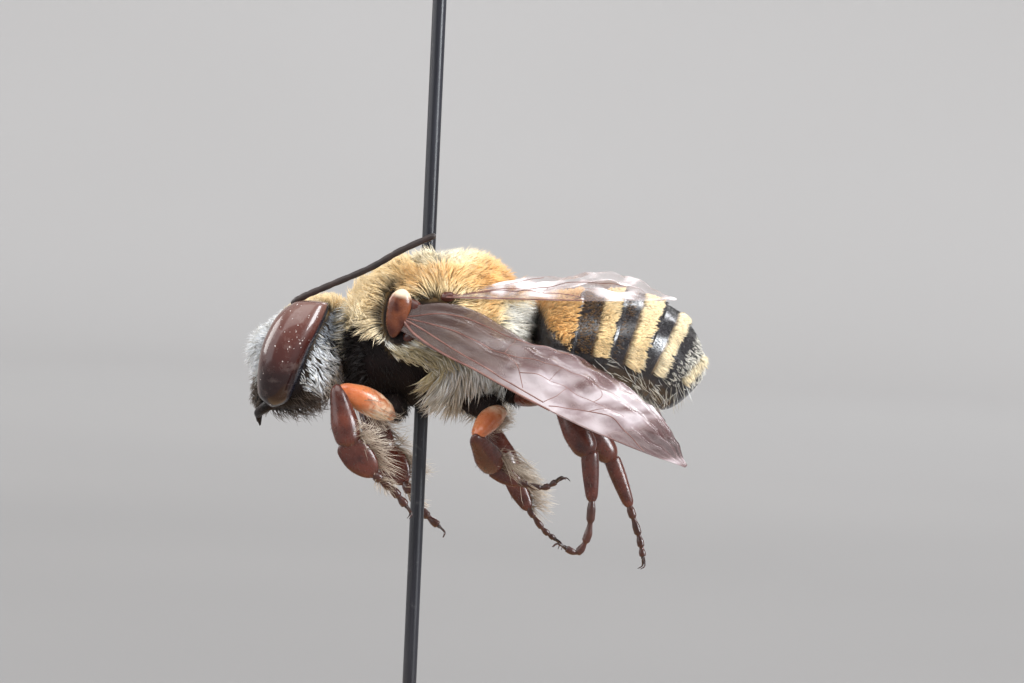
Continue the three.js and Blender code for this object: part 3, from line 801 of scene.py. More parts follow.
# %% Eye finish
def eye_finish():
    finish = Finish("eye_gloss", Specular_IOR_Level=0.22, Coat_Weight=0.5, Coat_Roughness=0.06)
    wave = finish.maths("MULTIPLY", finish.maths("SUBTRACT", finish.noise(1.1, 3), 0.5), 0.35)
    # Painted light and shade: the colour is lighter towards the top, for the light from above, and darker below and
    # towards the rear.
    height = finish.maths("ADD", finish.value("up"), wave)
    height = finish.maths("SUBTRACT", height, finish.maths("MULTIPLY", finish.value("behind"), 0.1))
    colour = finish.ramp(
        height,
        (0.0, (0.008, 0.003, 0.004)),
        (0.26, (0.015, 0.005, 0.005)),
        (0.46, (0.046, 0.012, 0.010)),
        (0.66, (0.095, 0.033, 0.026)),
        (0.92, (0.155, 0.082, 0.068)),
    )
    # Towards the front edge the colour turns a lighter brown.
    colour = finish.mix(finish.range(finish.value("front"), 0.75, 1.0, 0.0, 0.35), colour, (0.16, 0.08, 0.05))
    dust = finish.range(finish.noise(0.45, 6, 0.75), 0.5, 0.8)
    colour = finish.mix(finish.maths("MULTIPLY", dust, 0.22), colour, (0.34, 0.27, 0.24))
    # Painted shade: a dark blue-black rim along the rear edge, where the dome turns away.
    rim = finish.range(finish.value("behind"), 0.8, 0.93)
    colour = finish.mix(rim, colour, (0.005, 0.006, 0.012))
    lenses = finish.range(finish.cells(0.028), 0.0, 0.6)
    rough = finish.range(dust, 0.0, 1.0, 0.27, 0.45)
    return finish.done(Base_Color=colour, Roughness=rough, Normal=finish.bump(lenses, 0.002, 0.35))


eye_gloss = eye_finish()
dust_finish = Finish("pale_dust", Roughness=0.8)
dust_finish = dust_finish.done(
    Base_Color=dust_finish.mix(dust_finish.noise(0.1), (0.42, 0.35, 0.32), (0.78, 0.72, 0.68))
)


def chips(surface, roots, size):
    """Small irregular flat chips lying on a surface."""
    clay = Clay()
    place, out = surface.place(*roots), surface.out(*roots)
    for centre, normal in zip(place, out):
        across = unit(np.cross(normal, dice.normal(size=3)))
        over = np.cross(normal, across)
        turn = 2 * np.pi * (np.arange(6) + dice.uniform(-0.3, 0.3, 6)) / 6
        reach = size * dice.uniform(0.3, 1.0) * dice.uniform(0.7, 1.2, 6)
        thin = dice.uniform(0.3, 0.9)
        rim = centre + np.outer(np.cos(turn) * reach, across) + np.outer(np.sin(turn) * reach * thin, over)
        peak = [centre + normal * size * 0.3, centre - normal * size * 0.2]
        faces = [(k, (k + 1) % 6, 6) for k in range(6)] + [((k + 1) % 6, k, 7) for k in range(6)]
        clay.add(np.vstack([rim, peak]), faces)
    return clay


for side_name, side in SIDES.items():
    eye = eye_surface(side)
    corners, triangles, t, a = eye.grid(64, 64)
    values = {"up": t, "behind": np.maximum(np.sin(a), 0), "front": np.maximum(-np.sin(a), 0)}
    make_piece(f"eye_{side_name}_dome", corners, triangles, eye_gloss, "eye", [f"eye_{side_name}"], values)
    roots = eye.scatter(46, lambda p, n, t, a: (n[:, 1] * side > 0.4) * (0.12 + (t > 0.4)))
    chips(eye, roots, 0.04).make(f"eye_{side_name}_dust", dust_finish, "eye")


# %% Head markings
def head_markings(p, n, t):
    face = fade(n[:, 0], -0.2, -0.6) * fade(p[:, 2], -1.8, -1.4) * fade(p[:, 2], 0.1, -0.3)
    crown = fade(p[:, 2], 0.15, 0.5) * fade(p[:, 0], -4.5, -4.1)
    cheek = fade(p[:, 0], -3.9, -3.4) * fade(p[:, 2], 0.5, 0.1) * 0.25
    zone = WHITE * face + 0.64 * crown * (1 - face) + WHITE * cheek * (1 - face)
    return np.clip(face + crown + cheek, 0, 1), np.clip(zone, 0, 1)


skin(HEAD, 80, 90, head_markings, "head_skin", head_shell, "coat", ["head"])


# %% Head coat
def head_hair(count, wanted, length, lift, lie, zone, name, width=0.03, bend=0.5, locks=0.4, finish=None, **more):
    roots = HEAD.scatter(count, lambda p, n, t, a: wanted(p, n) * ~in_eye(p))
    p = HEAD.place(*roots)
    coat_piece = Coat().grow(HEAD, roots, length(p), lift, lie(p), width, bend, locks, zone(p), **more)
    return coat_piece.make(name, finish)


def steady(*way):
    return lambda p: np.tile(np.array(way, float), (len(p), 1))


def hump(x, middle, reach):
    """1 in the middle, falling softly to 0 over about twice the reach."""
    return np.exp(-(((x - middle) / reach) ** 2))


def on_face(p, n):
    return fade(n[:, 0], -0.05, -0.4) * (p[:, 2] < 0.5)


head_hair(
    2000,
    lambda p, n: on_face(p, n) * hump(p[:, 2], -0.75, 0.6) * hump(p[:, 1], 0.0, 0.7),
    lambda p: 0.28 + 0.44 * hump(p[:, 2], -0.75, 0.5) * hump(p[:, 1], 0.0, 0.8),
    0.8,
    lambda p: np.stack([np.full(len(p), -0.8), 0.15 * p[:, 1], 0.55 * (p[:, 2] + 0.95)], 1),
    lambda p: np.full(len(p), WHITE),
    "face_coat",
    0.03,
    locks=0.5,
    stray=0.3,
    finish=face_white,
)
head_hair(
    1500,
    lambda p, n: on_face(p, n) * fade(p[:, 2], -2.15, -1.6) * (1 - 0.6 * hump(p[:, 2], -0.75, 0.5)),
    lambda p: 0.2 + 0.05 * fade(p[:, 2], -0.4, 0.4),
    0.5,
    lambda p: np.stack([np.full(len(p), -0.4), 0.5 * p[:, 1], 0.6 * (p[:, 2] + 1.0)], 1),
    lambda p: WHITE - 0.06 + 0.22 * fade(p[:, 2], -0.6, 0.2),
    "face_edge_coat",
    0.022,
    locks=0.4,
    stray=0.25,
    finish=face_white,
)
head_hair(
    600,
    lambda p, n: on_face(p, n) * fade(p[:, 2], -1.5, -1.9),
    lambda p: np.full(len(p), 0.3),
    0.55,
    steady(-0.4, 0, -1),
    lambda p: np.full(len(p), OLIVE),
    "lip_coat",
    0.02,
    finish=brown_hair,
    stray=0.25,
)
head_hair(
    3600,
    lambda p, n: fade(p[:, 2] - 0.35 * fade(np.abs(p[:, 1]), 0.6, 1.1), 0.05, 0.5) * fade(n[:, 0], -0.7, -0.3),
    lambda p: 0.3 + 0.16 * fade(p[:, 0], -4.2, -3.0),
    0.75,
    steady(0.1, 0, 0.6),
    lambda p: 0.64 + 0.1 * ripple(p, 1.0, 8),
    "crown_coat",
    0.032,
)
head_hair(
    2000,
    lambda p, n: fade(p[:, 0], -3.1, -2.75) * fade(p[:, 2], -1.2, -0.2),
    lambda p: 0.36 + 0.3 * fade(p[:, 2], -0.6, 0.3),
    0.6,
    steady(0.5, 0, 0.2),
    lambda p: WHITE - 0.08 + 0.55 * fade(p[:, 2], 0.3, 0.8),
    "nape_coat",
    0.038,
)
for side_name, side in SIDES.items():
    head_hair(
        720,
        lambda p, n: (p[:, 1] * side > 0.2)
        * fade(p[:, 0], -4.05, -3.75)
        * fade(p[:, 2], -0.1, -0.6)
        * fade(p[:, 2], -2.15, -1.75),
        lambda p: 0.17 + 0.33 * fade(p[:, 2], -0.2, -0.9) * fade(p[:, 0], -3.9, -3.1),
        0.3,
        lambda p: np.stack([np.full(len(p), 0.8), 0.1 * np.sign(p[:, 1]), -0.3 + 0.35 * p[:, 2]], 1),
        lambda p: WHITE - 0.13 * fade(p[:, 2], -0.7, -0.1),
        f"cheek_coat_{side_name}",
        0.05,
        0.55,
        0.6,
        stray=0.13,
        finish=cheek_white,
    )
    head_hair(
        900,
        lambda p, n: (p[:, 1] * side > 0.2)
        * fade(p[:, 0], -4.05, -3.75)
        * fade(p[:, 2], 0.8, 0.5)
        * fade(p[:, 2], -0.8, -0.4),
        lambda p: np.full(len(p), 0.2),
        0.35,
        steady(0.6, 0, -0.4),
        lambda p: np.full(len(p), OLIVE),
        f"temple_coat_{side_name}",
        0.028,
        finish=grey_hair,
    )
head_hair(
    420,
    lambda p, n: (n[:, 2] < -0.2) * fade(p[:, 0], -5.0, -4.5) * fade(p[:, 2], -1.7, -2.1),
    lambda p: 0.5 + 0.3 * fade(p[:, 0], -4.8, -3.9),
    0.6,
    steady(0.5, 0, -0.9),
    lambda p: np.full(len(p), OLIVE),
    "beard_coat",
    0.02,
    finish=brown_hair,
    stray=0.35,
)
head_hair(
    900,
    lambda p, n: fade(p[:, 0], -3.3, -2.9) * fade(p[:, 2], -0.1, -0.5),
    lambda p: np.full(len(p), 0.34),
    0.5,
    steady(0.8, 0, -0.6),
    lambda p: np.full(len(p), OLIVE),
    "head_back_hair",
    0.022,
    finish=black_hair,
    stray=0.25,
)

# %% [markdown]
# ## Feelers, jaws and simple eyes
# A male bee's feeler has a long first joint, a tiny second one and eleven short ones in a row, thin as
# thread and slightly pinched between joints. A tube along a smooth curve with a rippled radius shows this
# well. The jaws are short curved black tubes that end in two teeth, and the three simple eyes on the crown
# are little glass-like beads.

# %% Feelers
FEELER_RADIUS = 0.108
SCAPE = [(-4.85, 0.42, -0.5), (-4.6, 0.6, 0.0), (-4.36, 0.78, 0.36), (-4.22, 0.93, 0.62)]
WHIP = [(-4.3, 0.95, 0.68), (-3.9, 1.08, 0.94), (-3.06, 1.3, 1.35), (-1.8, 1.6, 1.96), (-0.86, 1.8, 2.55), (0.26, 1.9, 3.12)]
RIGHT_WHIP_SHIFT = np.array([-0.115, 0.0, -0.078])
WHIP_JOINTS = 12


def feeler_finish():
    finish = Finish("feeler_brown", Roughness=0.5, Specular_IOR_Level=0.45)
    colour = finish.ramp(finish.noise(0.5), (0.3, (0.010, 0.006, 0.006)), (0.75, (0.032, 0.017, 0.014)))
    return finish.done(Base_Color=colour, Normal=finish.bump(finish.noise(0.02), 0.006, 0.7))


feeler_brown = feeler_finish()
for side_name, side in SIDES.items():
    t = np.linspace(0, 1, 97)
    whip = smooth(WHIP, t) * (1, side, 1) + RIGHT_WHIP_SHIFT * (side > 0) * fade(t, 0.0, 0.2)[:, None]
    pinch = 1 - 0.1 * np.abs(np.cos(np.pi * WHIP_JOINTS * t)) ** 6
    ends = np.sqrt(np.clip(1 - (np.abs(t - 0.5) * 2) ** 26, 0, 1))
    radius = FEELER_RADIUS * (0.62 + 0.38 * fade(t, 0.0, 0.12)) * pinch * ends
    Clay().add(*tube(whip, radius, 14, 0.85)).make(
        f"feeler_{side_name}", feeler_brown, "feeler", [f"antenna_{side_name}_flagellum"]
    )
    first = smooth([(x, side * y, z) for x, y, z in SCAPE], np.linspace(0, 1, 24))
    radius = 0.125 * rounded_ends(np.linspace(0, 1, 24), 0.12)
    Clay().add(*tube(first, radius, 14)).make(
        f"feeler_{side_name}_stalk", feeler_brown, "feeler", [f"antenna_{side_name}_scape"]
    )

# %% Jaws and simple eyes
jaw_black = shell_finish("jaw_black", ((0.004, 0.003, 0.003), (0.014, 0.006, 0.005)), 0.4)
JAW = [(-4.55, 1.2, -2.4), (-4.98, 1.0, -2.66), (-5.22, 0.6, -2.88), (-5.26, 0.22, -3.02)]
for side_name, side in SIDES.items():
    t = np.linspace(0, 1, 30)
    jaw = smooth(JAW, t) * (1, side, 1)
    radius = smooth([0.2, 0.17, 0.14, 0.1], t) * rounded_ends(t, 0.12)
    clay = Clay().add(*tube(jaw, radius, 16, 0.7))
    for base, point in (((-5.24, 0.32, -2.98), (-5.18, 0.16, -3.32)), ((-5.26, 0.2, -2.95), (-5.28, 0.04, -3.2))):
        tooth = np.linspace(base, point, 6) * (1, side, 1)
        clay.add(*tube(tooth, np.linspace(0.1, 0.012, 6), 8))
    clay.make(f"jaw_{side_name}", jaw_black, "cuticle", [f"mandible_{side_name}"])

bead_glass = Finish("bead_glass", Roughness=0.08, Coat_Weight=0.8, Coat_Roughness=0.05)
bead_glass = bead_glass.done(
    Base_Color=bead_glass.ramp(bead_glass.noise(0.2), (0.3, (0.03, 0.012, 0.008)), (0.7, (0.09, 0.035, 0.02)))
)
clay = Clay()
for x, y, z in ((-4.2, 0, 0.74), (-3.95, 0.27, 0.8), (-3.95, -0.27, 0.8)):
    bead = limb((x, y, z - 0.13), (x, y, z + 0.1), [0.12, 0.13, 0.12], cap=0.5)
    clay.add(*bead.grid(12, 16)[:2])
clay.make("simple_eyes", bead_glass, "eye")

# %% [markdown]
# ## Abdomen
# Six overlapping shell plates, like roof tiles, make the abdomen. Each dark plate ends in a dense band of
# pale gold hair pressed flat against it, and the first wears longer orange-gold fluff. The plates could be
# six meshes; one skin with small steps in it has no gaps and still shows every edge. Which plate a place is
# on, and how far back on it, is worked out once and used by skin, bands and dark hair alike.

# %% Abdomen skin and markings
PLATE_ENDS = np.array([0.0, 0.248, 0.387, 0.545, 0.668, 0.845, 1.0])
BAND_STARTS = np.array([0.0, 0.50, 0.437, 0.51, 0.72, 1.0])  # share of each plate where its band begins
LOW_EDGE = ((3.6, 0.95), (3.9, 0.42), (4.6, -0.2), (5.9, -0.55), (7.2, -0.7), (8.6, -1.05))  # x and z below which it is dark
PLATE_LIFT = 0.035


def plate_of(t):
    """The plate's number and how far back on it each t lies."""
    k = np.clip(np.searchsorted(PLATE_ENDS, t, side="right") - 1, 0, 5)
    return k, (t - PLATE_ENDS[k]) / (PLATE_ENDS[k + 1] - PLATE_ENDS[k])


def plate_swell(t, a):
    k, share = plate_of(t)
    return 1 + PLATE_LIFT * share**1.5 * (k < 5) - 0.012


ABDOMEN = oval_body(
    [
        (3.50, -0.85, 3.45, 0.2, 0.85),
        (3.85, -1.40, 3.75, 1.0, 1.6),
        (4.4, -1.66, 4.75, 1.4, 2.1),
        (5.2, -1.8, 5.95, 1.53, 2.3),
        (5.95, -1.87, 6.95, 1.47, 2.27),
        (6.6, -1.92, 7.8, 1.15, 2.08),
        (7.1, -1.97, 8.5, 0.6, 1.75),
        (7.4, -2.08, 8.93, -0.22, 1.4),
        (7.62, -2.2, 9.02, -1.05, 1.0),
        (7.85, -2.3, 8.6, -1.75, 0.62),
    ],
    0.09,
    plate_swell,
)


def above_edge(p):
    edge = np.interp(p[:, 0], *np.array(LOW_EDGE).T) + 0.12 * ripple(p, 0.7, 21)
    return fade(p[:, 2], edge - 0.22, edge + 0.08)


def abdomen_markings(p, n, t):
    k, share = plate_of(t)
    band_end = np.where(k == 0, 0.97, 0.86)
    band = fade(share, BAND_STARTS[k] - 0.06, BAND_STARTS[k] + 0.04) * (k < 5) * fade(share, band_end, band_end - 0.1)
    zone = np.where(k == 0, 0.93, PALE_GOLD - 0.03 - 0.2 * fade(k, 1.0, 4.0))
    return band * above_edge(p), zone


skin(ABDOMEN, 260, 96, abdomen_markings, "abdomen_skin", abdomen_shell, "coat",
     [f"abdomen_{k}" for k in range(1, 7)])


# %% Abdomen coat
def abdomen_lie(roots, droop=0.0):
    """Straight back along the plate, turned down by droop."""
    t, a = roots
    step = 0.01
    way = unit(ABDOMEN.place(np.clip(t + step, 0, 1), a) - ABDOMEN.place(np.clip(t - step, 0, 1), a))
    return way + np.outer(np.broadcast_to(droop, len(t)), (0.1, 0, -1.0))


def abdomen_hair(count, wanted, length, lift, zone, name, width=0.028, locks=0.4, points=4, finish=None,
                 droop=0.0, **more):
    roots = ABDOMEN.scatter(count, wanted)
    p, t = ABDOMEN.place(*roots), roots[0]
    lie = abdomen_lie(roots, droop)
    coat_piece = Coat().grow(ABDOMEN, roots, length(p, t), lift, lie, width, 0.55, locks, zone(p, t), points, **more)
    return coat_piece.make(name, finish)


def own_zone(p, t):
    return abdomen_markings(p, None, t)[1] - 0.15 * (plate_of(t)[0] == 0) * fade(p[:, 2], 0.1, -0.4)


def in_band(p, n, t, a):
    return abdomen_markings(p, n, t)[0]


def on_side(p, side):
    return p[:, 1] * side > 0


for side_name, side in SIDES.items():
    abdomen_hair(
        3800,
        lambda p, n, t, a: in_band(p, n, t, a) * (plate_of(t)[0] == 0) * on_side(p, side),
        lambda p, t: 0.42 - 0.14 * fade(t, 0.12, 0.24),
        0.42,
        own_zone,
        f"first_plate_coat_{side_name}",
        0.038,
        0.6,
    )
    abdomen_hair(
        8500,
        lambda p, n, t, a: in_band(p, n, t, a) * (plate_of(t)[0] > 0) * on_side(p, side),
        lambda p, t: 0.23 + 0.14 * fade(p[:, 2], -0.2, -0.7),
        0.3,
        own_zone,
        f"band_coat_{side_name}",
        0.036,
        0.55,
        stray=0.14,
        group=8,
    )
    abdomen_hair(
        110,
        lambda p, n, t, a: on_side(p, side)
        * (1 - above_edge(p))
        * fade(p[:, 2], -1.9, -1.3)
        * (plate_of(t)[1] > 0.45)
        * (t > 0.25)
        * (t < 0.86),
        lambda p, t: 0.7 + 0.45 * fade(p[:, 2], -0.9, -1.5),
        0.16,
        lambda p, t: WHITE - 0.1 + 0.12 * fade(p[:, 2], -1.3, -0.6),
        f"flank_fringe_{side_name}",
        0.018,
        0.3,
        droop=0.75,
        group=5,
    )
abdomen_hair(
    2600,
    lambda p, n, t, a: above_edge(p)
    * (fade(t, 0.246, 0.25) * fade(t, 0.36, 0.29) + 0.5 * fade(t, 0.385, 0.39) * fade(t, 0.43, 0.39)),
    lambda p, t: np.full(len(t), 0.17),
    0.2,
    lambda p, t: np.full(len(t), ORANGE_GOLD),
    "tawny_down",
    0.016,
    0.1,
    3,
    tawny_hair,
)
abdomen_hair(
    4200,
    lambda p, n, t, a: (1 - in_band(p, n, t, a)) * (n[:, 2] > -0.5) * (t < 0.84) * fade(t, 0.05, 0.3),
    lambda p, t: np.full(len(t), 0.14),
    0.3,
    own_zone,
    "dark_plate_hair",
    0.016,
    0.1,
    3,
    black_hair,
)
abdomen_hair(
    1000,
    lambda p, n, t, a: (fade(t, 0.7, 0.75) * (1 - in_band(p, n, t, a)) * fade(p[:, 2], -1.5, -0.9)) * (n[:, 2] > -0.5),
    lambda p, t: np.full(len(t), 0.16),
    0.3,
    lambda p, t: np.full(len(t), WHITE + 0.08),
    "tail_coat",
    0.026,
    0.35,
)
abdomen_hair(
    700,
    lambda p, n, t, a: fade(n[:, 2], -0.5, -0.85) * fade(t, 0.08, 0.2) * fade(t, 0.9, 0.8),
    lambda p, t: np.full(len(t), 0.4),
    0.3,
    lambda p, t: np.full(len(t), WHITE + 0.1),
    "belly_coat",
    0.022,
    stray=0.25,
)

# %% [markdown]
# ## Neck and waist
# Dark leathery stalks join the three parts of the body. They are short and mostly hidden, so each is one
# small wrinkled form between its neighbours.

# %% Neck and waist
stalk_black = shell_finish("stalk_black", ((0.012, 0.01, 0.01), (0.03, 0.02, 0.018)), 0.5)
for name, start, end, radius in (
    ("neck", (-3.0, 0, -0.55), (-1.9, 0, -0.45), 0.56),
    ("waist", (2.8, 0, -0.35), (3.9, 0, -0.35), 0.42),
):
    rings = [radius * (1 + 0.06 * (-1) ** k) for k in range(9)]
    corners, triangles = limb(start, end, rings, wide=(0, 0, 1)).grid(40, 32)[:2]
    make_piece(f"{name}_stalk", corners, triangles, stalk_black, "cuticle", [name])

# %% [markdown]
# ## Legs
# Each leg is a chain: hip, thigh, shin, a long first toe joint, four small ones and a pair of claws. The
# thighs glow orange-brown because light passes into the thin shell: the shader's subsurface gives part of
# this, and a paler outline is painted on as painted light for the rest. The shins are deep red-brown. In
# this male the front feet are broadened and edged with long cream hair, which is what he is known for.

# %% Leg finishes
def leg_finish(name, deep, light, edge, gloss, pale_root=None, varnish=0.25):
    """Glossy amber to red shell that turns to its edge colour towards its outline, painted light for light passing
    through the thin shell, with fine lengthwise wrinkles.
    """
    finish = Finish(name, Specular_IOR_Level=0.15 + varnish, Coat_Weight=varnish, Coat_Roughness=0.12)
    # Painted light: towards the outline, as seen from the camera, the colour turns to edge, paler on the amber thighs,
    # for light passing through the thin shell.
    painted_outline_glow = finish.add("ShaderNodeLayerWeight", Blend=0.4).outputs["Facing"]
    colour = finish.ramp(finish.noise(0.7, 4), (0.25, deep), (0.75, light))
    colour = finish.mix(finish.maths("MULTIPLY", painted_outline_glow, 0.55), colour, edge)
    if pale_root:
        streaks = finish.range(finish.noise(0.35, 3, 0.6, 0.6), 0.35, 0.6)
        near_root = finish.range(finish.value("along"), 0.6, 0.25)
        colour = finish.mix(finish.maths("MULTIPLY", streaks, near_root), colour, pale_root)
    rough = finish.range(finish.noise(0.2), 0.3, 0.75, gloss - 0.08, gloss + 0.12)
    fine = finish.bump(finish.noise(0.05), 0.006, 0.7)
    finish.set(finish.shader, {"Subsurface_Weight": 0.12, "Subsurface_Radius": (1.0, 0.35, 0.2)})
    finish.set(finish.shader, {"Subsurface_Scale": 0.2 * MM})
    return finish.done(Base_Color=colour, Roughness=rough, Normal=finish.bump(finish.noise(0.4), 0.02, 0.5, fine))


amber = leg_finish("amber_shell", (0.34, 0.075, 0.022), (0.56, 0.17, 0.055), (0.6, 0.30, 0.17), 0.28, (0.78, 0.58, 0.40))
red_brown = leg_finish("red_brown_shell", (0.018, 0.0035, 0.004), (0.12, 0.030, 0.017), (0.11, 0.035, 0.026), 0.28)
HIP_TONES = ((0.006, 0.004, 0.004), (0.014, 0.008, 0.007), (0.016, 0.010, 0.009))
hip_black = leg_finish("hip_black", *HIP_TONES, 0.6, varnish=0.0)
toe_brown = leg_finish("toe_brown", (0.022, 0.007, 0.006), (0.07, 0.022, 0.014), (0.09, 0.04, 0.03), 0.35)
claw_black = leg_finish("claw_black", (0.01, 0.006, 0.005), (0.04, 0.016, 0.012), (0.06, 0.03, 0.02), 0.2)

# %% Where the joints are
LEGS = {
    "front_left": {
        "hip": (-0.93, -0.85, -2.2),
        "thigh": (-0.9, -1.4, -2.75),
        "knee": (-2.66, -2.3, -1.86),
        "ankle": (-2.15, -2.4, -3.75),
        "instep": (-1.3, -2.2, -4.62),
        "toes": [(-0.78, -2.0, -5.02), (-0.28, -1.9, -5.58)],
    },
    "front_right": {
        "hip": (-0.93, 0.85, -2.2),
        "thigh": (-0.85, 1.4, -2.9),
        "knee": (-2.1, 2.85, -2.3),
        "ankle": (-1.1, 2.4, -4.3),
        "instep": (-0.45, 2.25, -5.2),
        "toes": [(0.05, 2.1, -5.95), (0.73, 2.0, -6.53)],
    },
    "middle_left": {
        "hip": (1.5, -1.0, -2.1),
        "thigh": (2.55, -1.55, -2.4),
        "knee": (1.8, -2.75, -3.2),
        "ankle": (2.5, -1.4, -4.31),
        "instep": (3.3, -1.35, -4.72),
        "toes": [(4.0, -1.5, -4.8), (4.46, -1.65, -4.55)],
    },
    "middle_right": {
        "hip": (1.5, 1.0, -2.1),
        "thigh": (2.5, 1.55, -2.45),
        "knee": (2.2, 3.0, -3.1),
        "ankle": (3.05, 3.0, -4.95),
        "instep": (3.65, 3.0, -5.95),
        "toes": [(4.13, 3.0, -6.54), (4.54, 3.1, -6.86)],
    },
    "hind_left": {
        "hip": (2.75, -0.8, -1.5),
        "thigh": (3.1, -1.45, -2.0),
        "knee": (4.3, -3.1, -1.7),
        "ankle": (5.43, -3.3, -3.6),
        "instep": (5.57, -3.2, -5.07),
        "toes": [(5.5, -3.1, -6.03), (5.2, -3.0, -6.66), (4.75, -3.0, -6.52)],
    },
    "hind_right": {
        "hip": (2.75, 0.8, -1.5),
        "thigh": (3.1, 1.45, -2.05),
        "knee": (4.75, 3.1, -2.1),
        "ankle": (6.35, 3.3, -4.23),
        "instep": (6.99, 3.4, -5.74),
        "toes": [(7.33, 3.4, -6.69), (7.5, 3.4, -7.4)],
    },
}
HIP = {"radii": [0.3, 0.44, 0.42, 0.3], "flat": 0.9}
THIGH = {"radii": [0.2, 0.36, 0.44, 0.42, 0.32, 0.22], "flat": 0.8, "bow": (0, 0, 0.08)}
SHIN = {"radii": [0.2, 0.28, 0.36, 0.44, 0.42, 0.34], "flat": 0.7}
FOOT = {
    "front": {"radii": [0.36, 0.46, 0.5, 0.4, 0.2], "flat": 0.3},
    "middle": {"radii": [0.26, 0.3, 0.3, 0.24, 0.16], "flat": 0.4},
    "hind": {"radii": [0.27, 0.28, 0.26, 0.22, 0.17], "flat": 0.6},
}
FRINGES = {"front": (130, 1.0, (1, 0, 0.0)), "middle": (150, 1.0, (1, 0, -0.4))}  # count, length, lie
THIGH_FINISH = {"front": amber, "middle": amber, "hind": red_brown}
FOOT_OVERLAP = {"front": 0.34, "middle": 0.22, "hind": 0.26}
TOE_RADIUS = {"front": 0.165, "middle": 0.115, "hind": 0.135}


def reach_back(start, end, amount=0.12):
    """Starts a part a little inside the one above it."""
    start, end = np.array(start), np.array(end)
    return start - unit(end - start) * amount, end


# %% Toes and claws
def toe_chain(path, size):
    """Four small heart-shaped joints along the path, each narrow where it begins."""
    t = np.linspace(0, 1, 81)
    share = (t * 4) % 1.0
    radius = size * (0.6 + 0.4 * fade(share, 0.0, 0.55) - 0.3 * fade(share, 0.85, 1.0))
    radius = radius * (1.1 - 0.25 * t)
    return tube(smooth(path, t * 0.93), radius, 12, 0.75)


def claws(tip, way):
    """Two hooked claws with a soft pad between them."""
    clay = Clay()
    sideways = unit(np.cross(way, (0.2, 0.1, 1.0)))
    down = unit(np.cross(sideways, way))
    down = down if down[2] < 0 else -down
    for spread in (-1, 1):
        hook = [
            tip,
            tip + way * 0.16 + sideways * 0.09 * spread,
            tip + way * 0.32 + sideways * 0.15 * spread + down * 0.04,
            tip + way * 0.38 + sideways * 0.17 * spread + down * 0.2,
        ]
        clay.add(*tube(smooth(hook, np.linspace(0, 1, 14)), np.linspace(0.06, 0.008, 14), 8))
    pad = limb(tip - way * 0.05, tip + way * 0.12, [0.06, 0.07, 0.05])
    return clay.add(*pad.grid(10, 12)[:2])


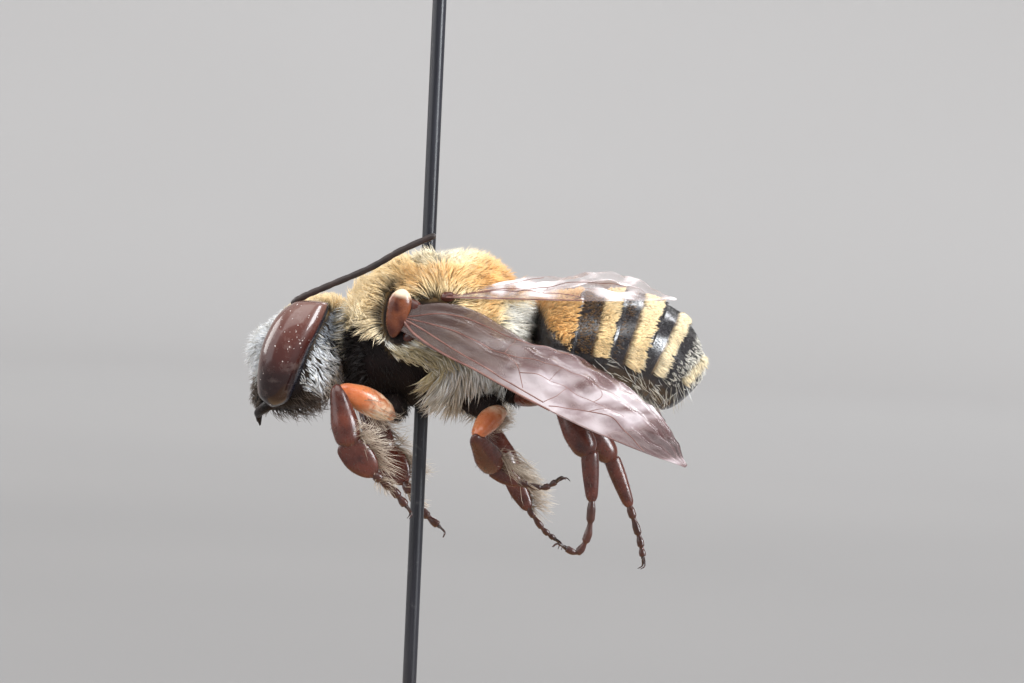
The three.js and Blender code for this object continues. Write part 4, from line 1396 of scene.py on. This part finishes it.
# %% Build the six legs
for leg_name, leg in LEGS.items():
    pair = leg_name.split("_")[0]
    label = f"leg_{leg_name}"
    hip = limb(*reach_back(leg["hip"], leg["thigh"], 0.3), **HIP)
    thigh = limb(*reach_back(leg["thigh"], leg["knee"]), **THIGH)
    shin = limb(*reach_back(leg["knee"], leg["ankle"]), **SHIN)
    foot = limb(*reach_back(leg["ankle"], leg["instep"], FOOT_OVERLAP[pair]), **FOOT[pair])
    for surface, part, finish, slot, node in (
        (hip, "hip_joint", hip_black, "cuticle", "hip"),
        (thigh, "thigh", THIGH_FINISH[pair], "red_leg" if pair == "hind" else "amber_leg", "femur"),
        (shin, "shin", red_brown, "red_leg", "tibia"),
        (foot, "foot", red_brown, "red_leg" if pair == "hind" else "fringe", "basitarsus"),
    ):
        corners, triangles, t, _ = surface.grid(44, 32)
        make_piece(f"{label}_{part}", corners, triangles, finish, slot, [f"{label}_{node}"], {"along": t})
    path = np.array([leg["instep"], *leg["toes"]], float)
    path[0] -= unit(path[0] - np.array(leg["ankle"])) * 0.1
    Clay().add(*toe_chain(path, TOE_RADIUS[pair])).make(f"{label}_toe_chain", toe_brown, "toe", [f"{label}_toes"])
    ends = smooth(path, np.array([0.88, 0.93]))
    claws(ends[1], unit(ends[1] - ends[0])).make(f"{label}_claws", claw_black, "toe")

    down = Coat()
    thigh_way = unit(np.array(leg["knee"]) - np.array(leg["thigh"]))
    shin_way = unit(np.array(leg["ankle"]) - np.array(leg["knee"]))
    foot_way = unit(np.array(leg["instep"]) - np.array(leg["ankle"]))
    for k, (surface, direction, count, size) in enumerate(
        ((hip, (0, 0, -1), 110, 0.3), (thigh, thigh_way, 80, 0.12), (shin, shin_way, 120, 0.13), (foot, foot_way, 90, 0.15))
    ):
        roots = surface.scatter(count, lambda p, n, t, a: np.ones(len(p)))
        lie = np.tile(direction, (len(roots[0]), 1))
        down.grow(surface, roots, size, 0.25, lie, 0.012, 0.5, 0.1, OLIVE, 3, tile=(k / 4, (k + 1) / 4))
    down.make(f"{label}_down", brown_hair, "fringe")
    roots = hip.scatter(320, lambda p, n, t, a: np.ones(len(p)))
    lie = np.tile((0.3, 0, -1), (len(roots[0]), 1))
    Coat().grow(hip, roots, 0.3, 0.35, lie, 0.022, 0.4, 0.3, OLIVE, 3, 0.25).make(f"{label}_hip_hair", black_hair, "fringe")
    if pair in FRINGES:
        count, reach, direction = FRINGES[pair]
        fringe = Coat()
        for k, (surface, share) in enumerate(((foot, 1.0), (shin, 0.4))):
            roots = surface.scatter(
                int(count * share),
                lambda p, n, t, a: np.exp(-((np.sin(a / 2) / 0.25) ** 2)) * (fade(t, 0.45, 0.8) if k else 1),
            )
            lie = np.tile(direction, (len(roots[0]), 1))
            tile = (0.3 * k, 0.3 * k + 0.3)
            fringe.grow(surface, roots, reach, 0.25, lie, 0.02, 0.4, 0.2, CREAM, 4, 0.1, tile, 4)
        roots = thigh.scatter(75, lambda p, n, t, a: fade(n[:, 2], 0.2, -0.5) * fade(t, 0.75, 0.4))
        lie = np.tile((0.9, 0, -0.35), (len(roots[0]), 1))
        fringe.grow(thigh, roots, 0.6, 0.3, lie, 0.02, 0.4, 0.3, CREAM, 4, 0.15, (0.6, 0.8), 5)
        if pair == "front":
            toe = limb(leg["instep"], leg["toes"][0], [0.15, 0.15])
            roots = toe.scatter(90, lambda p, n, t, a: np.ones(len(p)))
            lie = np.tile((1, 0, -0.3), (len(roots[0]), 1))
            fringe.grow(toe, roots, 0.42, 0.3, lie, 0.02, 0.5, 0.3, CREAM, 3, 0.15, (0.8, 1))
        fringe.make(f"{label}_fringe", fringe_hair, "fringe")

# %% [markdown]
# ## Wing bases
# Where a front wing meets the thorax a small domed chestnut scale covers the hinge, like a shoulder pad. It
# is smooth and glossy, darker towards its lower end and pale at its upper end, partly a see-through rim and
# partly a painted highlight, and dark red hinge plates show below it.

# %% Wing scales and hinges
scale_finish = Finish("chestnut_scale", Specular_IOR_Level=0.3, Coat_Weight=0.15, Coat_Roughness=0.08)
scale_tone = scale_finish.ramp(
    scale_finish.noise(0.5), (0.3, (0.045, 0.010, 0.006)), (0.7, (0.20, 0.062, 0.026))
)
# The upper end turns pale cream: partly a see-through rim, partly a painted highlight. The lower end is darker.
pale_rim_and_painted_highlight = scale_finish.range(scale_finish.value("up"), 0.8, 0.93)
low_end = scale_finish.range(scale_finish.value("up"), 0.55, 0.1, 0.0, 0.8)
scale_tone = scale_finish.mix(low_end, scale_tone, (0.05, 0.012, 0.008))
scale_finish = scale_finish.done(
    Base_Color=scale_finish.mix(pale_rim_and_painted_highlight, scale_tone, (0.74, 0.56, 0.40)),
    Roughness=scale_finish.range(scale_finish.noise(0.15), 0.3, 0.7, 0.18, 0.36),
    Normal=scale_finish.bump(scale_finish.noise(0.06), 0.006, 0.6),
)
for side_name, side in SIDES.items():
    scale = limb(
        (-0.98, side * 2.24, -0.2), (-0.68, side * 2.36, 1.36), [0.2, 0.3, 0.36, 0.38, 0.34], 0.62, (1, 0, 0), 0.3
    )
    corners, triangles, t, _ = scale.grid(48, 40)
    label = f"wing_scale_{side_name}"
    make_piece(label, corners, triangles, scale_finish, "tegula", [f"tegula_{side_name}"], {"up": t})
    clay = Clay()
    for start, end, radius in (
        ((-0.62, 2.2, 0.95), (-0.1, 2.4, 0.75), 0.2),
        ((-0.7, 2.25, 0.2), (-0.15, 2.42, 0.3), 0.22),
        ((-0.65, 2.1, -0.25), (-0.2, 2.3, 0.05), 0.18),
        ((0.5, 2.05, 1.15), (0.95, 2.2, 1.2), 0.16),
    ):
        plate = limb(np.array(start) * (1, side, 1), np.array(end) * (1, side, 1), [radius] * 3, 0.6, (0, 0, 1), 0.4)
        clay.add(*plate.grid(20, 18)[:2])
    clay.make(f"wing_hinge_{side_name}", red_brown, "tegula")

# %% [markdown]
# ## Wings
# A dried wing is a clear, smoky skin a hundredth of a millimetre thick, stretched between dark red veins. It
# isn't flat: it is pleated along the veins, bellied in the middle and crumpled where it dried. One rule
# gives the height of the sheet at every place, so the membrane and the veins, which are thin tapering
# tubes, follow the same folds. The membrane is closed, with two faces and a rim, and lets light through.

# %% Wing finishes
def wing_finish(name, tones, root_tone, root_share, clear, dense, size):
    """Smoky clear skin in random dark and pale clouds, the pale clouds painted highlights of light on the folds and
    less see-through, and stained brown towards the root.
    """
    finish = Finish(name, Specular_IOR_Level=0.5, Coat_Weight=0.2, Coat_Roughness=0.2)
    smoke_and_painted_highlights = finish.noise(size, 2, 0.5, 0.4, finish.stretched(0.6, 1, 1))
    # Painted highlights: the pale clouds stand in for light on the folded membrane.
    tone = finish.ramp(smoke_and_painted_highlights, (0.36, tones[0]), (0.5, tones[1]), (0.66, tones[2]))
    far_out = finish.range(finish.value("along"), *root_share)
    wrinkle = finish.bump(finish.noise(0.35, 4, 0.6, 1.5), 0.03, 0.8)
    cloud = finish.range(smoke_and_painted_highlights, 0.45, 0.66, clear, dense)
    return finish.done(
        Base_Color=finish.mix(far_out, root_tone, tone),
        Alpha=finish.mix(far_out, (clear,) * 3, cloud),
        Roughness=finish.range(finish.noise(0.8), 0.3, 0.7, 0.22, 0.42),
        Normal=finish.bump(finish.noise(0.06, 2), 0.002, 0.4, wrinkle),
    )


# The palest tone of each wing is a painted highlight of light on its folds.
fore_smoke_and_highlight_tones = ((0.085, 0.034, 0.034), (0.18, 0.108, 0.108), (0.46, 0.395, 0.41))
hind_smoke_and_highlight_tones = ((0.44, 0.33, 0.31), (0.60, 0.51, 0.50), (0.90, 0.85, 0.86))
WING_FINISHES = {
    "fore": wing_finish("fore_membrane", fore_smoke_and_highlight_tones, (0.085, 0.048, 0.040), (0.1, 0.6), 0.62, 0.92, 1.3),
    "hind": wing_finish("hind_membrane", hind_smoke_and_highlight_tones, (0.36, 0.26, 0.22), (0.0, 0.2), 0.12, 0.82, 0.8),
}
vein_finish = Finish("vein_red", Roughness=0.35, Coat_Weight=0.2, Coat_Roughness=0.2)
vein_finish = vein_finish.done(
    Base_Color=vein_finish.ramp(vein_finish.noise(0.4), (0.3, (0.10, 0.03, 0.022)), (0.75, (0.24, 0.11, 0.085)))
)


# %% Wing rule
def wing_rule(root, tip, chord, front, rear, camber, side, root_chord=None, shift=(0, 0, 0), crumple=0.1):
    """Gives place(t, c): t runs from root to tip, and c from the front edge 0 to the rear edge 1."""
    flip = np.array([1, side, 1])
    start = np.array(root) * flip + shift
    span = np.array(tip) * flip + shift - start

    def square_on(way):
        way = np.array(way) * flip
        return unit(way - span * (way @ span) / (span @ span))

    at_tip, at_root = square_on(chord), square_on(root_chord or chord)
    lift = -side * unit(np.cross(span, at_tip))

    def place(t, c):
        t = np.clip(t, 0, 1)
        low, high = smooth(front, t), smooth(rear, t)
        reach = -low + (low + high) * c
        belly = camber * np.sin(np.pi * t) * np.cos(np.pi * (c - 0.5))
        flat = np.stack([t * np.linalg.norm(span), reach, 0 * t], 1)
        stiff = fade(c, 0.0, 0.3)
        pleats = 0.05 * np.sin(c * 22 + 3 * t) * fade(t, 0.0, 0.25) * stiff
        folds = stiff * crumple * (ripple(flat * (1, 2.4, 1), 2.6, 31) + 0.5 * ripple(flat * (1, 1.6, 1), 0.9, 32))
        height = belly + (pleats + folds * fade(t, 0.05, 0.5)) * fade(low + high, 0.1, 0.9)
        turned_to = fade(t, 0.02, 0.32)[:, None]
        across = unit(at_root * (1 - turned_to) + at_tip * turned_to)
        return start + np.outer(t, span) + reach[:, None] * across + np.outer(height, lift)

    return place, lift


def membrane_sheet(place, lift, thickness=0.012, rows=150, columns=64):
    """Corners and triangles of the thin closed skin of a wing."""
    t = np.sin(np.pi / 2 * np.linspace(0, 1, rows))
    t, c = np.meshgrid(t, np.linspace(0, 1, columns), indexing="ij")
    sheet = place(t.ravel(), c.ravel())
    corners = np.vstack([sheet + lift * thickness / 2, sheet - lift * thickness / 2])
    i, j = np.meshgrid(np.arange(rows - 1), np.arange(columns - 1), indexing="ij")
    p = (i * columns + j).ravel()
    q, r, s, back = p + 1, p + columns, p + columns + 1, rows * columns
    faces = [np.stack([p, r, q], 1), np.stack([q, r, s], 1)]
    faces += [np.stack([p, q, r], 1) + back, np.stack([q, s, r], 1) + back]
    line = np.arange(rows * columns).reshape(rows, columns)
    border = np.concatenate([line[0, :-1], line[:-1, -1], line[-1, :0:-1], line[:0:-1, 0]])
    turn = np.roll(border, -1)
    faces += [np.stack([border, turn, border + back], 1), np.stack([turn, turn + back, border + back], 1)]
    triangles = np.vstack(faces)
    first = corners[triangles[:, 0]] - sheet.mean(0)
    sides = [corners[triangles[:, k]] - corners[triangles[:, 0]] for k in (1, 2)]
    if np.einsum("ij,ij->", first, np.cross(*sides)) < 0:
        triangles = triangles[:, ::-1]
    return corners, triangles, np.tile(t.ravel(), 2)


# %% Veins and wings
FORE_VEINS = (
    (0.1, [(0.0, 0.36), (0.05, 0.1), (0.16, 0.02), (0.32, 0.012), (0.56, 0.01)]),
    (0.07, [(0.0, 0.42), (0.07, 0.26), (0.2, 0.14), (0.37, 0.09), (0.53, 0.06)]),
    (0.03, [(0.56, 0.01), (0.7, 0.01), (0.86, 0.02)]),
    (0.04, [(0.55, 0.05), (0.64, 0.2), (0.74, 0.24), (0.82, 0.16), (0.87, 0.03)]),
    (0.06, [(0.0, 0.48), (0.09, 0.42), (0.2, 0.42), (0.34, 0.44)]),
    (0.04, [(0.34, 0.44), (0.40, 0.3), (0.45, 0.1)]),
    (0.035, [(0.34, 0.44), (0.48, 0.55), (0.62, 0.62), (0.7, 0.7)]),
    (0.035, [(0.41, 0.26), (0.5, 0.35), (0.62, 0.38), (0.76, 0.36)]),
    (0.03, [(0.53, 0.07), (0.55, 0.22), (0.56, 0.36)]),
    (0.03, [(0.66, 0.22), (0.69, 0.3), (0.7, 0.37)]),
    (0.028, [(0.5, 0.35), (0.5, 0.45), (0.51, 0.57)]),
    (0.028, [(0.65, 0.38), (0.66, 0.5), (0.62, 0.62)]),
    (0.05, [(0.0, 0.54), (0.1, 0.7), (0.23, 0.79), (0.37, 0.84), (0.5, 0.86)]),
    (0.028, [(0.33, 0.44), (0.33, 0.6), (0.32, 0.81)]),
)
HIND_VEINS = (
    (0.06, [(0.0, 0.1), (0.2, 0.04), (0.45, 0.02), (0.6, 0.02)]),
    (0.04, [(0.02, 0.4), (0.25, 0.3), (0.45, 0.24), (0.6, 0.12)]),
    (0.035, [(0.02, 0.55), (0.3, 0.5), (0.55, 0.48), (0.78, 0.5)]),
    (0.028, [(0.42, 0.26), (0.43, 0.36), (0.44, 0.49)]),
    (0.03, [(0.02, 0.75), (0.2, 0.78), (0.42, 0.84)]),
)
FOREWING = {
    "root": (-0.62, 2.35, 0.42),
    "tip": (8.32, 6.3, -3.57),
    "chord": (0.465, -0.7, 0.541),
    "root_chord": (0.1, -0.1, 1.0),
    "front": [0.38, 0.42, 0.46, 0.52, 0.58, 0.61, 0.62, 0.6, 0.55, 0.47, 0.36, 0.21, 0.04],
    "rear": [0.5, 1.0, 1.35, 1.58, 1.76, 1.92, 2.04, 2.08, 2.02, 1.8, 1.4, 0.85, 0.1],
    "camber": 0.35,
}
HINDWING = {
    "root": (0.67, 2.2, 1.2),
    "tip": (7.95, 2.42, 1.42),
    "chord": (0, -0.92, 0.39),
    "front": [0.14, 0.18, 0.2, 0.22, 0.2, 0.14, 0.04],
    "rear": [0.2, 0.78, 1.4, 1.8, 1.95, 1.45, 0.1],
    "camber": 0.12,
}
RIGHT_HINDWING_SHIFT = (0, 0.75, -0.32)
for side_name, side in SIDES.items():
    for kind, shape, veins, shift in (
        ("fore", FOREWING, FORE_VEINS, (0, 0, 0)),
        ("hind", HINDWING, HIND_VEINS, RIGHT_HINDWING_SHIFT if side > 0 else (0, 0, 0)),
    ):
        place, lift = wing_rule(**shape, side=side, shift=shift)
        corners, triangles, far = membrane_sheet(place, lift)
        label = f"{kind}wing_{side_name}"
        finish = WING_FINISHES[kind]
        make_piece(f"{label}_membrane", corners, triangles, finish, "wing", [label], {"along": far})
        clay = Clay()
        for width, points in veins:
            steps = 12 * len(points)
            line = smooth(points, np.linspace(0, 1, steps))
            taper = width / 2 * (1 - 0.35 * np.linspace(0, 1, steps))
            clay.add(*tube(place(line[:, 0], line[:, 1]), taper, 6))
        clay.make(f"{label}_veins", vein_finish, "wing")

# %% [markdown]
# ## Pin and stand
# The insect pin is a straight springy steel wire with a black enamel, a long sharpened point and a small
# turned head. It stands in a plain round base of light wood. Both are turned shapes, drawn as a profile
# spun round the pin's axis, and the enamel has faint lengthwise drawing marks and worn spots.


# %% Turned shapes
def turned(profile, sides=72):
    """Spins a profile of radius and height, in millimetres from the floor, round the pin's axis."""
    profile = np.array(profile, float)
    path = np.stack([0 * profile[:, 0], 0 * profile[:, 0], profile[:, 1] - BEE_HEIGHT], 1)
    angle = 2 * np.pi * np.arange(sides) / sides
    ring = np.stack([np.cos(angle), np.sin(angle), 0 * angle], 1)
    corners = (path[:, None] + ring[None] * profile[:, 0][:, None, None]).reshape(-1, 3)
    corners = np.vstack([corners, path[:1], path[-1:]])
    i, j = np.meshgrid(np.arange(len(path) - 1), np.arange(sides), indexing="ij")
    p, q = (i * sides + j).ravel(), (i * sides + (j + 1) % sides).ravel()
    rim, turn = np.arange(sides), (np.arange(sides) + 1) % sides
    last = (len(path) - 1) * sides
    start, end = np.full(sides, len(corners) - 2), np.full(sides, len(corners) - 1)
    faces = [np.stack([p, q, p + sides], 1), np.stack([q, q + sides, p + sides], 1)]
    faces += [np.stack([start, turn, rim], 1), np.stack([end, last + rim, last + turn], 1)]
    return corners, np.vstack(faces)


def rounding(centre, height, radius, start, end, steps=10):
    angle = np.radians(np.linspace(start, end, steps))
    return [(centre + radius * math.cos(v), height + radius * math.sin(v)) for v in angle]


# %% Pin
PIN_RADIUS, PIN_POINT, PIN_LENGTH, PIN_HEAD = 0.225, 1.5, 38.0, 0.6
enamel = Finish("black_enamel", Metallic=0.0, Specular_IOR_Level=0.3, Coat_Weight=0.12, Coat_Roughness=0.15)
drawn = enamel.noise(0.25, 4, 0.6, 0.0, enamel.stretched(1, 1, 0.04))
worn = enamel.range(enamel.noise(0.5, 5, 0.7), 0.62, 0.75)
enamel_tone = enamel.ramp(drawn, (0.3, (0.008, 0.008, 0.011)), (0.7, (0.022, 0.023, 0.030)))
enamel = enamel.done(
    Base_Color=enamel.mix(worn, enamel_tone, (0.06, 0.06, 0.065)),
    Roughness=enamel.range(drawn, 0.3, 0.7, 0.22, 0.4),
    Normal=enamel.bump(drawn, 0.004, 0.5),
)
PIN_TOP = PIN_POINT + PIN_LENGTH
neck_height = PIN_TOP - 1.4 * PIN_HEAD
shaft = [(0.012, PIN_POINT), (0.12, PIN_POINT + 1.4), (0.19, PIN_POINT + 2.3), (PIN_RADIUS, PIN_POINT + 3.2)]
shaft += [(PIN_RADIUS, h) for h in np.linspace(PIN_POINT + 4, neck_height, 30)]
make_piece("pin_wire", *turned(shaft, 48), enamel, "pin", ["pin_shaft"])
brass = Finish("turned_brass", Metallic=1.0)
turning = brass.noise(0.08, 3, 0.5, 0.0, brass.stretched(0.1, 0.1, 1))
brass = brass.done(
    Base_Color=brass.ramp(brass.noise(0.3), (0.3, (0.55, 0.36, 0.13)), (0.75, (0.82, 0.62, 0.30))),
    Roughness=brass.range(turning, 0.3, 0.7, 0.2, 0.38),
    Normal=brass.bump(turning, 0.01, 0.5),
)
knob = [(r, neck_height + 0.7 * PIN_HEAD * (1 + h)) for r, h in rounding(0.0, 0.0, 1.0, -88, 88, 26)]
knob = [(PIN_HEAD * r, h) for r, h in knob]
make_piece("pin_knob", *turned(knob, 48), brass, "pin_head", ["pin_head"])

# %% Wooden base
STAND_RADIUS, STAND_THICKNESS, STAND_EDGE = 10.5, 10.0, 0.8
wood = Finish("light_wood", Specular_IOR_Level=0.4)
grain_place = wood.stretched(1.0, 0.08, 1.0)
grain = wood.noise(0.22, 5, 0.6, 0.3, grain_place)
rings = wood.add("ShaderNodeTexWave", {"bands_direction": "X", "wave_profile": "SAW"}, Vector=wood.here, Scale=420.0)
wood.set(rings, {"Distortion": 7.0, "Detail": 1.5, "Detail_Scale": 0.12})
wood_tone = wood.ramp(
    rings.outputs["Fac"], (0.0, (0.46, 0.31, 0.175)), (0.75, (0.43, 0.28, 0.155)), (1.0, (0.34, 0.205, 0.105))
)
pores = wood.range(grain, 0.35, 0.6)
wood = wood.done(
    Base_Color=wood.mix(wood.maths("MULTIPLY", pores, 0.3), wood_tone, (0.34, 0.20, 0.105)),
    Roughness=wood.range(grain, 0.3, 0.7, 0.42, 0.62),
    Normal=wood.bump(grain, 0.03, 0.5),
)
inner, top = STAND_RADIUS - STAND_EDGE, STAND_THICKNESS
block = [(0.05, 0.0), (inner, 0.0), *rounding(STAND_RADIUS - 0.3, 0.3, 0.3, -90, 0, 6)]
block += [*rounding(inner, top - STAND_EDGE, STAND_EDGE, 0, 90), (inner - 1.2, top), (inner - 1.35, top - 0.12)]
block += [(inner - 1.5, top), (4.0, top), (0.4, top), (0.245, top - 0.1), (0.245, PIN_POINT + 3.2), (0.02, PIN_POINT)]
make_piece("stand_block", *turned(block, 160), wood, "wood", ["stand_base"])

# %% Update the scene
bpy.context.view_layer.update()
